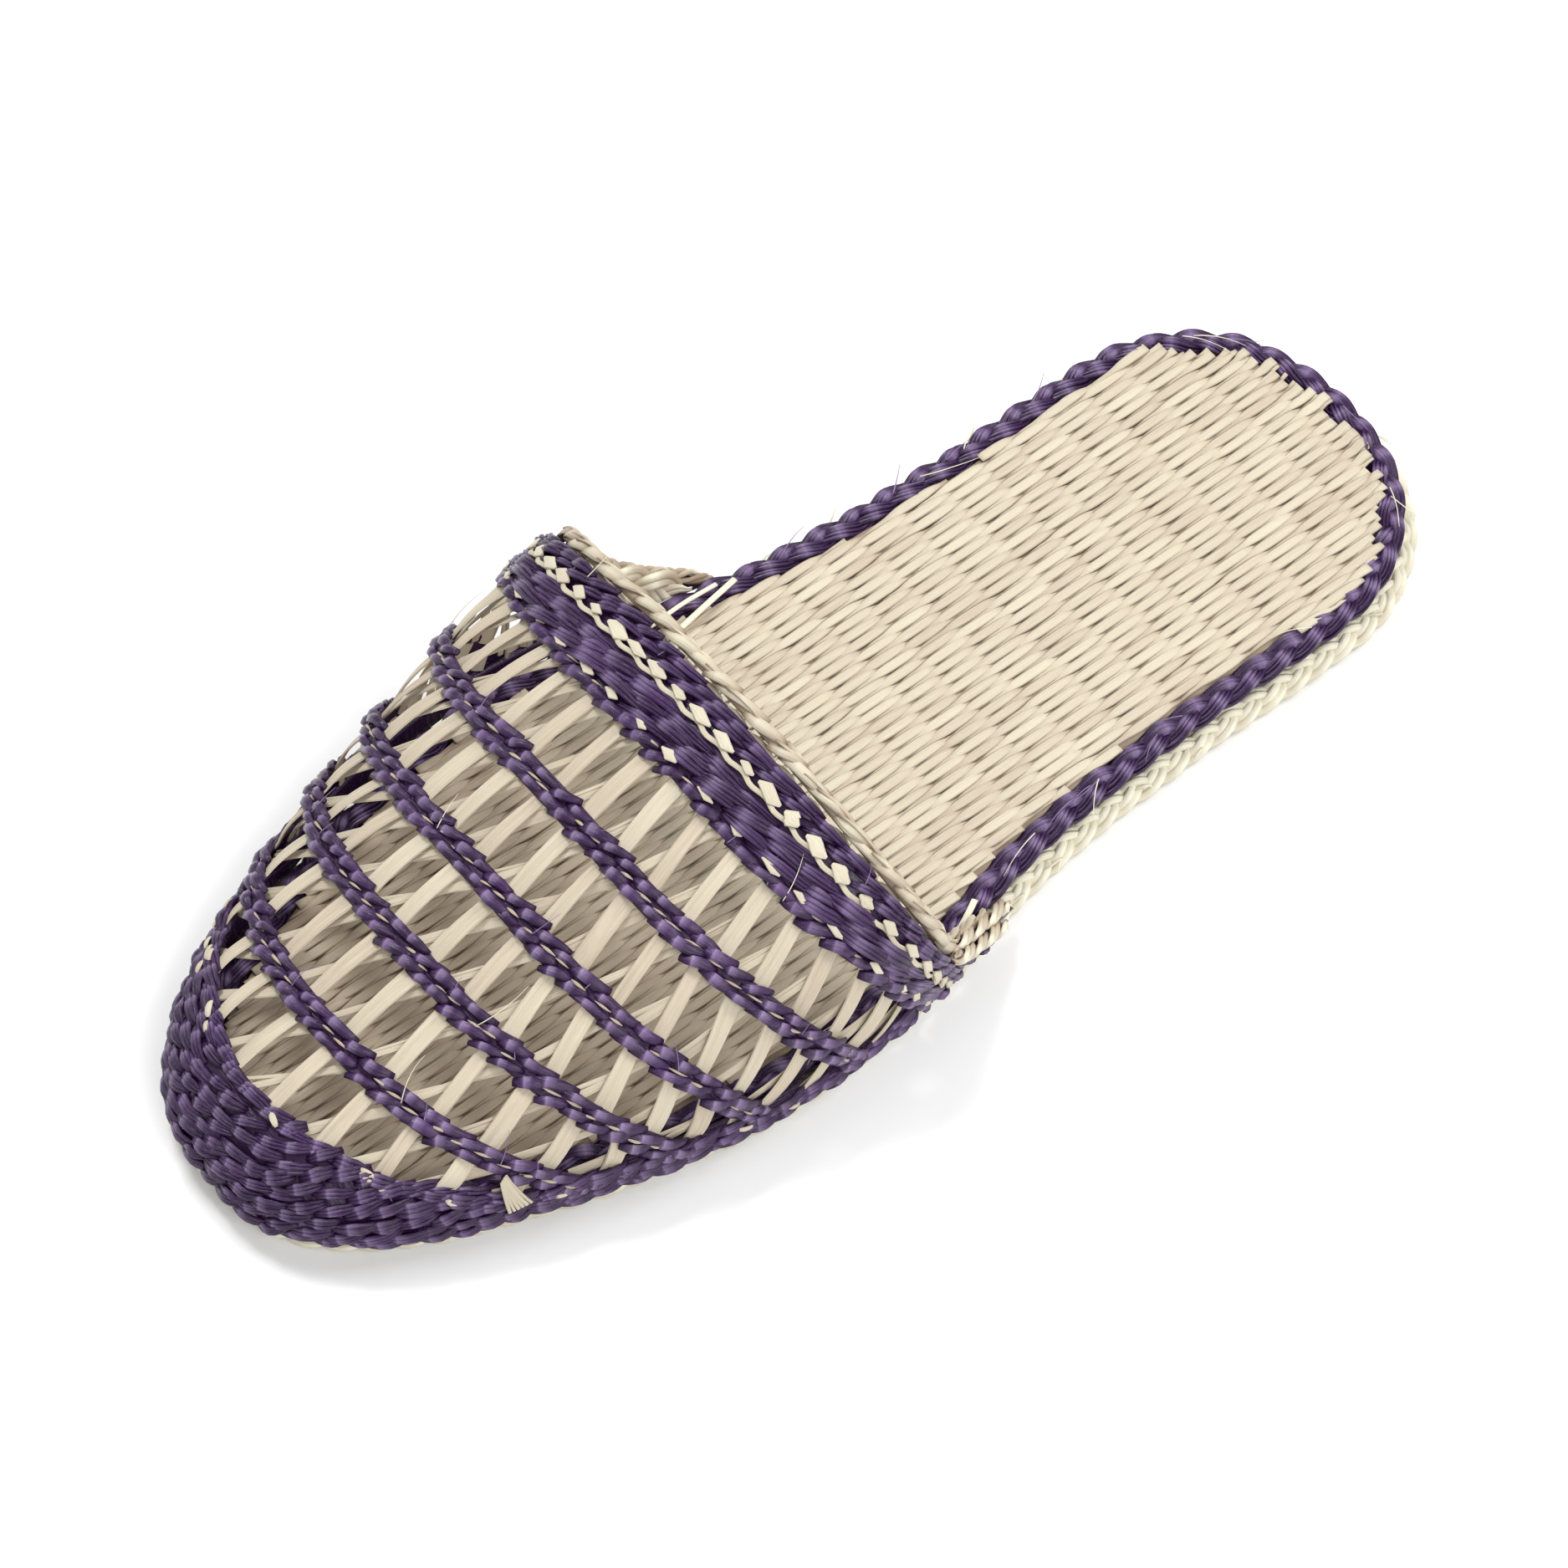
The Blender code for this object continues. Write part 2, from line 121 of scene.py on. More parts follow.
CUFF_REAR = COLLAR_REAR._replace(sweep=3.0)
BAND_HALF = 2.4
BAND_ROWS = (-1.27, 1.27)

# Dense steps for measuring along a line, and the small turn and step used for slopes
DENSE = np.linspace(0.0, pi, 361)
SMALL_TURN = 0.02
SMALL_STEP = 0.2

# Strand sections, as shares of half the width and half the thickness, from the underside round
ROUND = np.array([(sin(a), cos(a)) for a in np.linspace(pi, 3 * pi, 7)[:-1]])
FLAT = np.array((
    (-0.5, -0.85), (-1.0, -0.1), (-0.84, 0.7), (-0.3, 1.0),
    (0.3, 1.0), (0.84, 0.7), (1.0, -0.1), (0.5, -0.85),
))
CREASED = np.array((
    (-0.5, -0.8), (-1.0, -0.1), (-0.9, 0.75), (-0.42, 1.0), (-0.22, 0.45),
    (0.1, 0.9), (0.5, 0.65), (0.92, 0.8), (1.0, -0.1), (0.5, -0.8),
))
GRAIN = np.array(((0.0, -0.8), (-1.0, 0.3), (-0.7, 1.0), (0.7, 1.0), (1.0, 0.3)))
UP = np.array((0.0, 0.0, 1.0))
UV_SPAN = 10.0
UV_SCATTER = 50.0
CRISP_ANGLE = radians(38.0)

# Mats of the sole: side is 1 for a face that looks up and -1 for one that looks down, drop is
# how deep a straw dips, and ragged is how far the ends reach over the plait at the heel
Mat = namedtuple("Mat", "out face_z back_z side pitch row turn drop half_thick step ragged spread")
MAT_TURN = -0.036
MAT_REACH = 62.0
MAT_ROWS = np.arange(-40, 41)
MAT_TONES = 16
MAT_MARGIN = 0.3
MAT_BACKING_GAP = 0.35
SHORTEST_STRAW = 5.0
RAGGED_HEEL = 42.0
OVER_PLAIT_RISE = 0.75
OVER_PLAIT_FROM = 1.5
OVER_PLAIT_RUN = 2.5
# Painted shade under the upper: the mat's tone and crest fall towards the toe, over SHADE_FADE
# before SHADED_Y; the tone keeps at least SHADED_TONE of itself
SHADED_Y = -60.0
SHADE_FADE = 45.0
SHADED_TONE = 0.45

# Straws of a mat: sideways sways as a share of the pitch and a length, shifts and sway of the
# floats in rows, width and plumpness as shares of the pitch, and the parts of the crest, which
# paint shade in the slits and under the upper and a faint highlight on top
MAT_SWAYS = ((0.1, 23.0), (0.07, 9.0))
MAT_ROW_SHIFT = 0.1
MAT_FLOAT_SHIFT = 0.06
MAT_FLOAT_SWAY = 0.03
MAT_FLOAT_WAVE = 13.0
MAT_WIDTH = 0.64
MAT_PLUMP = 0.24
MAT_WIDTH_VARY = (0.94, 1.05)
MAT_CREST = 0.68
MAT_UNSHADED_CREST = 0.18
MAT_SLIT_CREST = 0.58

# A float of a mat: how flat its plump part is, where its slit starts and fades in, how deep the
# slit is all along, and the deeper bite at its end
PLUMP_FLATNESS = 1.6
SLIT_FROM = 0.3
SLIT_FADE = 1.1
SLIT_SHALLOW = 0.3
BITES = (0.6, 1.2)
BITE_AT = 0.76
BITE_WIDTH = 0.2

# Straws that share a strand: how far they spread and overlap, sway, sink and differ in shade
PART_SPREAD = 0.86
PART_OVERLAP = 1.14
PART_SWAY = 0.16
PART_SWAY_LENGTH = 60.0
PART_SINK = 0.3
PART_TONE = 0.35

# Plaits: reach to the sides, rise, half sizes, roll of each strand, straws in a strand, crest at
# the top, which sets the painted highlight, how far the crest dips, which paints shade where a
# strand goes under, and the range of shades
Plait = namedtuple("Plait", "reach rise half_width half_thick roll parts top dip shades")
COLLAR_PLAIT = Plait(2.4, 0.55, 1.6, 0.5, 0.3, 2, 1.0, 0.6, (0.5, 0.9))
COLLAR_PLAIT_PERIOD = 21.0
SolePlait = namedtuple("SolePlait", "piece node finish seed out z lean repeat kind")
SOLE_PLAITS = (
    SolePlait("outsole_plait", "outsole_edge_braid", NATURAL, 13, -0.7, 2.35, 0.25, 0.76,
              Plait(1.45, 0.62, 1.45, 0.75, 0.5, 2, 1.0, 0.1, (0.8, 1.0))),
    SolePlait("insole_plait", "insole_binding", PURPLE, 14, -2.9, 7.1, 0.12, 1.0,
              Plait(1.35, 0.85, 1.5, 0.95, 0.6, 4, 0.99, 0.8, (0.0, 0.3))),
)
Rope = namedtuple("Rope", "lay spread rise half_width half_thick parts")
CORNER_ROPE = Rope(12.0, 0.9, 0.8, 0.95, 0.5, 2)
CORNER_ROPE_LENGTH = 24.0
CORNER_ROPE_HEIGHT = 1.3
STRAP_BACK = 1.8
INNER_PLAIT_SHARE = 0.79
INNER_PLAIT_DEPTH = WALL + 0.8
ROPE_DRIFT = 0.5
ROPE_DRIFT_LENGTH = 17.0
ROPE_SHADES = (0.3, 0.7)

# Ends of plaits and ropes: the length over which they thin, and how thin they get
PLAIT_ENDS = (4.0, 0.3)
ROPE_ENDS = (2.0, 0.35)

# Floats of the twined rows: slant is across the row, low is the height of the ends, parts the
# straws in each, dark the power of the random shade, and top the crest in the middle, which sets
# the painted highlight
Floats = namedtuple("Floats", "pitch length slant half_width half_thick low rise parts dark top")
CAP_FLOATS = Floats(4.8, 7.4, -2.1, 1.25, 0.5, 0.4, 0.95, 3, 3.0, 0.985)
CAP_BORDER = CAP_FLOATS._replace(slant=-1.4)
BAND_FLOATS = Floats(4.3, 6.8, -1.9, 0.92, 0.6, 0.4, 1.05, 1, 2.6, 1.0)
CUFF_FRONT_FLOATS = Floats(4.4, 6.8, -1.9, 0.95, 0.6, 0.5, 1.05, 1, 2.2, 0.98)
CUFF_LONG_FLOATS = Floats(8.5, 13.0, -2.2, 1.3, 0.5, 0.3, 1.6, 3, 2.6, 0.975)
CUFF_REAR_FLOATS = Floats(5.6, 8.4, -1.8, 0.85, 0.55, 0.4, 1.25, 2, 2.2, 0.975)
CUFF_CORNER_FLOATS = CUFF_REAR_FLOATS._replace(dark=4.0)
COLLAR_STRAP = Floats(5.6, 9.4, -1.5, 0.9, 0.34, 0.5, 0.75, 1, 0.7, 0.9)
CuffRow = namedtuple("CuffRow", "share floats")
CUFF_ROWS = (
    CuffRow(0.07, CUFF_FRONT_FLOATS),
    CuffRow(0.25, CUFF_LONG_FLOATS),
    CuffRow(0.37, CUFF_LONG_FLOATS),
    CuffRow(0.48, CUFF_LONG_FLOATS),
    CuffRow(0.80, CUFF_REAR_FLOATS),
    CuffRow(0.91, CUFF_REAR_FLOATS),
)
CORNER_SHARE = 0.95
CORNER_SWEEPS = (6.5, 10.0, 13.5)
CORNER_LENGTH = 14.0
ROPE_SWEEP = 17.0
LONG_FLOAT = 12.0
FloatVary = namedtuple("FloatVary", "length slant shift rise pitch width")
FLOAT_VARY = np.array(FloatVary(0.13, 0.65, 0.4, 0.42, 0.2, 0.22))

# Shape of each float: how far round its arch goes, its width at the tips, where its painted
# highlight peaks, the crest at its ends, which paints shade where it dives under, and the shortest
# share of one that is kept; a core lies under a row of them, painted dark as shade
FLOAT_ARCH = 0.94
FLOAT_TIP = 0.6
FLOAT_GLEAM_AT = 0.16
FLOAT_LOW_CREST = 0.1
FLOAT_LEAST = 0.3
CORE = {"half_thick": 0.4, "section": FLAT, "shade": 0.1, "crest": 0.12}

# Ribbons of the upper: half_width is a range, tilt the largest lean, crest the painted shade and
# painted highlight laid evenly over them, and creased the share of ribbons that are folded along
# their length
Ribbon = namedtuple("Ribbon", "half_width half_thick low rise tilt crest creased")
WIDE_RIBBON = Ribbon((1.25, 1.8), 0.3, 0.1, 0.9, 0.16, 0.85, 0.7)
THIN_RIBBON = Ribbon((0.7, 1.15), 0.26, -0.6, 0.3, 0.3, 0.84, 0.4)
FINE_RIBBON = Ribbon((0.3, 0.45), 0.24, -0.7, 0.3, 0.3, 0.84, 0.0)
RIBBON_POINTS = 15
RIBBON_STRAIGHT = 0.45
RIBBON_OVERRUN = 0.13
RIBBON_TUCK = 0.55
FINE_SHARE = 0.45
RIBBON_TAPER = 0.12
RIBBON_SHADES = (0.0, 0.7)
RIBBON_JITTER = 0.5

# Where the ribbons of a woven row meet its front and rear lines: wide ones fan out by a share of
# their offset, thin ones lean by a share of the pitch, and fine ones lie beside the thin ones
Ends = namedtuple("Ends", "front rear")
WIDE_FAN = Ends(1.045, 0.955)
THIN_LEAN = Ends(0.46, 0.34)
FINE_BESIDE = Ends(1.5, 0.4)

# Woven rows from toe to collar: pitch of the wide ribbons and how far they lie off the crown
WovenRow = namedtuple("WovenRow", "pitch shift")
WOVEN_ROWS = (
    WovenRow(10.4, 1.8),
    WovenRow(9.9, 2.2),
    WovenRow(9.2, 1.4),
    WovenRow(8.5, 0.0),
    WovenRow(8.0, 0.0),
)

# Toe cap: the lip is the share of its grid that folds in to the foot under the tip
CAP_LIP = 0.2
CAP_LEVELS = (1.2, 22.0)
CAP_STEP = 1.2
RAND_STEPS = 12
RAND_CLEAR = 0.9
# Backing sheets, painted dark as shade where they show between the rows
CAP_BACKING = {"low": -1.1, "high": 0.55, "shade": 0.2, "crest": 0.1}
CUFF_BACKING = {"low": -1.2, "high": 0.5, "shade": 0.25, "crest": 0.12}

# Natural straws between the purple rows. Straws vary in length, slant and width, and diamonds in
# corner, length and width; the last of the four draws has no effect
Diamond = namedtuple("Diamond", "length half_width half_thick low rise")
PLATE = Diamond(4.3, 1.3, 0.3, 1.75, 0.6)
DOT = Diamond(3.4, 0.95, 0.28, 1.7, 0.4)
Straw = namedtuple("Straw", "length slant half_width half_thick low rise plateau tones")
DASH = Straw(2.8, -0.5, 0.24, 0.2, 1.0, 0.6, 1.0, (0.0, 0.4))
BIT = Straw(2.6, 0.8, 0.55, 0.28, 0.9, 0.75, 0.3, (0.2, 1.0))
STRAW_ARCH = 0.96
STRAW_TIP = 0.25
STRAW_VARY = np.array((0.22, 0.4, 0.2, 0.0))
DIAMOND_CORNER = 0.12
DIAMOND_VARY = np.array((0.08, 0.32, 0.3, 0.0))
PLATE_SHARE = 0.69
LINK_SHARE = 0.615
DOT_SHARE = 0.17
DASH_PITCH = 4.2
BIT_PITCH = 8.5
FRAY_STRAWS = 6
FRAY_POINTS = 8

# Ends of straw that stick up where the collar meets the sole: three points and half the width
StrawEnd = namedtuple("StrawEnd", "start middle end half_width")
COLLAR_ENDS = (
    StrawEnd((-39.3, -4.5, 11.0), (-39.8, 3.0, 11.4), (-40.4, 11.0, 10.0), 0.45),
    StrawEnd((-36.2, -2.5, 9.4), (-37.6, 6.0, 10.2), (-39.6, 14.5, 9.5), 0.6),
    StrawEnd((42.9, -0.5, 8.6), (41.4, 3.0, 9.8), (39.7, 5.6, 9.3), 0.6),
)

# Loose fibres along the sole's edge and the twined rows, and short tips round the outsole: how
# many there are, and their range of lengths
Fibres = namedtuple("Fibres", "finish count reach")
EDGE_FIBRES = (Fibres(NATURAL, 12, (5.0, 14.0)), Fibres(PURPLE, 14, (4.0, 9.0)))
ROW_FIBRES = (Fibres(NATURAL, 1, (7.0, 12.0)), Fibres(PURPLE, 4, (2.5, 6.5)))
TIPS = Fibres(NATURAL, 34, (2.0, 4.5))
HAIR_RADIUS = 0.11
ROW_HAIR_RADIUS = 0.09
TIP_RADIUS = 0.22
HAIR_POINTS = 8
HAIR_TURN = 0.7
HAIR_BEND = 0.25
HAIR_LIFT = (0.02, 0.09)
EDGE_FROM = 0.7
EDGE_SPAN = 0.62
ROW_SPAN = (0.12, 0.88)
ROW_HAIR_HEIGHT = 1.7

# Finishes: the tones of a straw are the colours of the panel; sheen and glint set how strong
# and how tight the painted highlight is
Finish = namedtuple("Finish", "contrast sheen glint roughness specular bump along across")
FINISHES = {
    NATURAL: Finish(0.5, 0.7, 12.0, 0.55, 0.4, 0.4, 1.2, 14.0),
    PURPLE: Finish(0.65, 0.58, 20.0, 0.24, 0.42, 0.45, 1.4, 10.0),
}
# Tones: the deep tone is painted shade where a straw lies low in the weave, and the gleam tone a
# painted highlight where it bulges most; both follow the crest
TONES = {"Deep": "_recess_shade", "Dark": "_dark", "Body": "", "Light": "_light", "Gleam": "_gleam"}
ROUGHNESS_RANGE = 0.18
FIBRE_DEPTH = 0.0003

# Stage, in metres and watts
FLOOR_HALF = 3.0
WORLD_STRENGTH = 0.5
Light = namedtuple("Light", "name spot size power")
LIGHTS = (
    Light("key light", (-0.8, 0.0, 1.4), 0.5, 15.0),
    Light("fill light", (1.2, -0.3, 1.2), 0.8, 13.0),
    Light("rear light", (0.5, 1.2, 1.3), 0.9, 13.0),
)
CAMERA_SPOT = (0.5978, -0.4618, 1.0573)
CAMERA_AIM = (-0.0012, -0.0040, 0.0060)
CAMERA_SENSOR = 36.0
CAMERA_LENS = 172.0
CAMERA_REACH = 20.0


def unit(vectors):
    return vectors / np.linalg.norm(vectors, axis=-1)[..., None]


def axes(path, up, closed=False):
    """Unit directions across a path and out of its face, square to the path."""
    if closed:
        along = np.roll(path, -1, axis=0) - np.roll(path, 1, axis=0)
    else:
        along = np.gradient(path, axis=0)
    side = unit(np.cross(along, up))
    return side, unit(np.cross(side, along))


def through(table, column, x):
    """Smooth curve through one column of a table, read at x in its first column."""
    xs = np.array([row[0] for row in table])
    ys = np.array([getattr(row, column) for row in table])
    slopes = np.gradient(ys, xs)
    x = np.clip(x, xs[0], xs[-1])
    i = np.clip(np.searchsorted(xs, x) - 1, 0, len(xs) - 2)
    width = xs[i + 1] - xs[i]
    u = (x - xs[i]) / width
    start = (1 + 2 * u) * (1 - u) ** 2 * ys[i] + u * (1 - u) ** 2 * width * slopes[i]
    end = u * u * (3 - 2 * u) * ys[i + 1] + u * u * (u - 1) * width * slopes[i + 1]
    return start + end


def distance_along(points):
    """Distance from the first point to each point of a path."""
    steps = np.linalg.norm(np.diff(points, axis=0), axis=1)
    return np.concatenate(([0.0], np.cumsum(steps)))


def read_at(places, run, columns):
    """Columns of points or normals, read at places along their run."""
    return np.column_stack([np.interp(places, run, column) for column in columns.T])


def thin_ends(run, length, least):
    """Share of its full size that a strand has along its run, thinner at both ends."""
    return np.clip(np.minimum(run, run[-1] - run) / length, least, 1.0)


def softened(path, rounds):
    """A path with its kinks smoothed out and its ends kept."""
    path = path.copy()
    for _ in range(rounds):
        path[1:-1] = (path[:-2] + 2 * path[1:-1] + path[2:]) / 4
    return path


class Run:
    """A path over the shoe, its normals, and the distance of its points from a zero point."""

    def __init__(self, points, normals, zero=0.0):
        along = distance_along(points)
        self.points = points
        self.normals = normals
        self.length = along[-1]
        self.offsets = along - zero

    def at(self, offsets):
        """Points and unit normals at offsets along the path."""
        normals = unit(read_at(offsets, self.offsets, self.normals))
        return read_at(offsets, self.offsets, self.points), normals

    def sides(self):
        """Unit directions across the path at each of its own points."""
        return axes(self.points, self.normals)[0]

    def from_foot(self, distance, side):
        """A point and normal at a distance from the foot on the +X or -X side."""
        at = self.offsets[0] + distance if side > 0 else self.offsets[-1] - distance
        points, normals = self.at(np.array([at]))
        return points[0], normals[0]


def even_path(path, up, step):
    """A path and its normals at even steps."""
    run = Run(path, up)
    return run.at(np.linspace(0.0, run.length, max(4, int(run.length / step))))


def sole_edge(y, out):
    """Axis and half width of the sole at y, for a line lying out from the edge line."""
    y = np.asarray(y, dtype=float)
    share = (HEEL_Y - y) / (HEEL_Y - TOE_Y)
    axis = through(SOLE, "axis_x", share)
    half = through(SOLE, "half_width", share) + out
    to_heel = np.clip(1 - (HEEL_Y + out - y) / (HEEL_ROUND + out), 0.0, 1.0)
    to_toe = np.clip(1 - (y - TOE_Y + out) / (TOE_ROUND + out), 0.0, 1.0)
    half = half * (1 - to_heel ** HEEL_POWER) ** (1 / HEEL_POWER)
    return axis, half * (1 - to_toe ** TOE_POWER) ** (1 / TOE_POWER)


def sole_outline(out, count):
    """Even points round the sole, out from the edge line, from the heel along +X to the toe."""
    middle = (HEEL_Y + TOE_Y) / 2
    reach = (HEEL_Y - TOE_Y) / 2 + out
    y = middle + reach * np.cos(DENSE)
    axis, half = sole_edge(y, out)
    outer = np.column_stack((axis + half, y))
    inner = np.column_stack((axis - half, y))[::-1]
    loop = np.concatenate((outer, inner[1:]))
    run = distance_along(loop)
    even = np.linspace(0.0, run[-1], count, endpoint=False)
    return read_at(even, run, loop), run[-1]


def sole_path(out, z, step):
    """A closed path round the sole at height z, and its length."""
    _, length = sole_outline(out, 8)
    points, _ = sole_outline(out, int(length / step))
    return np.column_stack((points, np.full(len(points), z))), length


def surface(y, turn):
    """Points of the upper's outer face; turn runs from 0 at +X over the crown to pi."""
    from_toe = y - TOE_Y + WALL_OUT
    axis, half = sole_edge(y, WALL_OUT)
    height = through(UPPER, "height", from_toe)
    bulge = through(UPPER, "side_bulge", from_toe)
    grown = np.clip(from_toe / SQUARENESS_RUN, 0.0, 1.0)
    power = 2 / (TOE_SQUARENESS + (COLLAR_SQUARENESS - TOE_SQUARENESS) * grown)
    side = np.cos(turn)
    rise = np.sin(turn)
    taper = np.clip(half / BULGE_FADES_BELOW, 0.0, 1.0)
    reach = half + bulge * taper * 2 * np.abs(side * rise)
    x = axis + reach * np.sign(side) * np.abs(side) ** power
    z = FOOT_Z + height * np.abs(rise) ** power
    return np.column_stack((x, y, z))


def outward_normals(y, turn):
    """Unit normals of the upper's face, level along the foot."""
    inside = np.clip(turn, 2 * SMALL_TURN, pi - 2 * SMALL_TURN)
    across = surface(y, inside + SMALL_TURN) - surface(y, inside - SMALL_TURN)
    along = surface(y + SMALL_STEP, inside) - surface(y - SMALL_STEP, inside)
    normal = np.cross(along, across)
    foot = np.minimum(turn, pi - turn) < SMALL_TURN
    normal[foot, 2] = 0.0
    return unit(normal)


def blend(front, rear, share):
    return Line(*(a + (b - a) * share for a, b in zip(front, rear)))


def shifted(line, y):
    return line._replace(crown_y=line.crown_y + y)


def line_run(line):
    """A line of the upper in dense points; only its ends are set back and swept.

    Its offsets are measured from the crown.
    """
    lift = 1 - np.sin(DENSE)
    set_back = line.set_back * (1 + LINE_SKEW * np.cos(DENSE)) * lift ** LINE_HOOK
    y = line.crown_y + set_back + line.sweep * lift ** SWEEP_HOOK
    points = surface(y, DENSE)
    crown = np.interp(pi / 2, DENSE, distance_along(points))
    return Run(points, outward_normals(y, DENSE), crown)


def along_line(line, clear, step, height=0.0):
    """Even points on a line, clear of both feet and raised, with normals and offsets."""
    run = line_run(line)
    start = run.offsets[0] + clear
    end = run.offsets[-1] - clear
    offsets = np.linspace(start, end, max(4, int((end - start) / step)))
    points, normals = run.at(offsets)
    return points + normals * height, normals, offsets


def both_ends(offsets, length):
    """Masks of the stretches of this length at the two ends of a line."""
    return offsets < offsets[0] + length, offsets > offsets[-1] - length


class Bundle:
    """Strands of one piece, gathered as arrays and joined into one mesh."""

    def __init__(self, seed):
        self.rng = np.random.default_rng(seed)
        self.points = []
        self.shades = []
        self.crests = []
        self.quads = []
        self.quad_uvs = []
        self.caps = []
        self.count = 0

    def _add_points(self, points, shade, crest):
        first = self.count
        self.points.append(points)
        self.shades.append(np.broadcast_to(shade, len(points)))
        self.crests.append(np.broadcast_to(crest, len(points)))
        self.count += len(points)
        return first

    # The crest runs from low in the weave to its top; the finishes paint shade where it is low and
    # a highlight near 1
    def strand(self, path, up, half_width, half_thick, section, shade, crest=1.0, closed=False):
        """One strand of straw along a path, with its broad face towards up."""
        n = len(path)
        m = len(section)
        side, top = axes(path, up, closed)
        wide = np.broadcast_to(half_width, n)[:, None] * section[:, 0]
        tall = np.broadcast_to(half_thick, n)[:, None] * section[:, 1]
        ring = path[:, None] + side[:, None] * wide[..., None] + top[:, None] * tall[..., None]
        crest = np.repeat(np.broadcast_to(crest, n), m)
        first = self._add_points(ring.reshape(-1, 3), shade, crest)
        index = first + np.arange(n * m).reshape(n, m)
        u = self.rng.uniform(0.0, UV_SCATTER) + distance_along(path) / UV_SPAN
        v = self.rng.uniform(0.0, UV_SCATTER) + np.arange(m + 1) / m
        if closed:
            index = np.concatenate((index, index[:1]))
            u = np.append(u, u[-1] + np.linalg.norm(path[0] - path[-1]) / UV_SPAN)
        else:
            self.caps.append(index[0][::-1])
            self.caps.append(index[-1])
        a = index[:-1]
        b = index[1:]
        quads = (a, np.roll(a, -1, axis=1), np.roll(b, -1, axis=1), b)
        self.quads.append(np.stack(quads, axis=-1).reshape(-1, 4))
        ua, va = np.meshgrid(u[:-1], v[:-1], indexing="ij")
        ub, vb = np.meshgrid(u[1:], v[1:], indexing="ij")
        uv = np.stack((ua, va, ua, vb, ub, vb, ub, va), axis=-1)
        self.quad_uvs.append(uv.reshape(-1, 2))

    def shell(self, points, normals, low, high, shade, crest):
        """A thin closed sheet on a grid of points that runs front to rear and +X to -X."""
        rows, columns = points.shape[:2]
        outer = points + normals * high
        inner = points + normals * low
        flat = np.concatenate((outer.reshape(-1, 3), inner.reshape(-1, 3)))
        first = self._add_points(flat, shade, crest)
        out = first + np.arange(rows * columns).reshape(rows, columns)
        back = out + rows * columns
        for face in (
            (out[:-1, :-1], out[1:, :-1], out[1:, 1:], out[:-1, 1:]),
            (back[:-1, 1:], back[1:, 1:], back[1:, :-1], back[:-1, :-1]),
            (out[0, :-1], out[0, 1:], back[0, 1:], back[0, :-1]),
            (out[-1, 1:], out[-1, :-1], back[-1, :-1], back[-1, 1:]),
            (out[1:, 0], out[:-1, 0], back[:-1, 0], back[1:, 0]),
            (out[:-1, -1], out[1:, -1], back[1:, -1], back[:-1, -1]),
        ):
            quads = np.stack([corner.ravel() for corner in face], axis=-1)
            self.quads.append(quads)
            self.quad_uvs.append(flat[quads.ravel() - first][:, :2] / UV_SPAN)

    def slab(self, outline, bottom, top, shade, crest):
        """A flat closed mat from an outline that runs clockwise seen from above."""
        count = len(outline)
        low = np.column_stack((outline, np.full(count, bottom)))
        high = np.column_stack((outline, np.full(count, top)))
        first = self._add_points(np.concatenate((low, high)), shade, crest)
        low_index = first + np.arange(count)
        high_index = low_index + count
        self.caps.append(low_index)
        self.caps.append(high_index[::-1])
        after = np.roll(np.arange(count), -1)
        quads = np.stack((low_index, high_index, high_index[after], low_index[after]), axis=-1)
        self.quads.append(quads)
        self.quad_uvs.append(np.tile(outline / UV_SPAN, (1, 4)).reshape(-1, 2))

    def make(self, name, finish, node=None, crisp=False):
        """Join everything into one object that rides on the shoe."""
        material = bpy.data.materials.get(finish)
        if material is None:
            raise RuntimeError("the straw finishes are made first")
        quads = np.concatenate(self.quads)
        loops = np.concatenate([quads.ravel()] + self.caps)
        totals = np.concatenate((np.full(len(quads), 4), [len(cap) for cap in self.caps]))
        starts = np.concatenate(([0], np.cumsum(totals)[:-1])).astype(np.int32)
        mesh = bpy.data.meshes.new(name)
        mesh.vertices.add(self.count)
        points = np.concatenate(self.points) * MM
        mesh.vertices.foreach_set("co", points.astype(np.float32).ravel())
        mesh.loops.add(len(loops))
        mesh.loops.foreach_set("vertex_index", loops.astype(np.int32))
        mesh.polygons.add(len(starts))
        mesh.polygons.foreach_set("loop_start", starts)
        mesh.update(calc_edges=True)
        if mesh.validate():
            raise RuntimeError("%s has faces that are not valid" % name)
        uvs = np.zeros((len(loops), 2), dtype=np.float32)
        uvs[:quads.size] = np.concatenate(self.quad_uvs)
        mesh.uv_layers.new(name="strand").data.foreach_set("uv", uvs.ravel())
        # The crest attribute carries the painted shade and painted highlight of each point
        for label, values in (("shade", self.shades), ("crest", self.crests)):
            layer = mesh.attributes.new(label, "FLOAT", "POINT")
            layer.data.foreach_set("value", np.concatenate(values).astype(np.float32))
        mesh.shade_smooth()
        if crisp:
            mesh.set_sharp_from_angle(angle=CRISP_ANGLE)
        mesh.materials.append(material)
        made = bpy.data.objects.new(name, mesh)
        bpy.context.scene.collection.objects.link(made)
        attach(made, "root")
        if node:
            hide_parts(node)


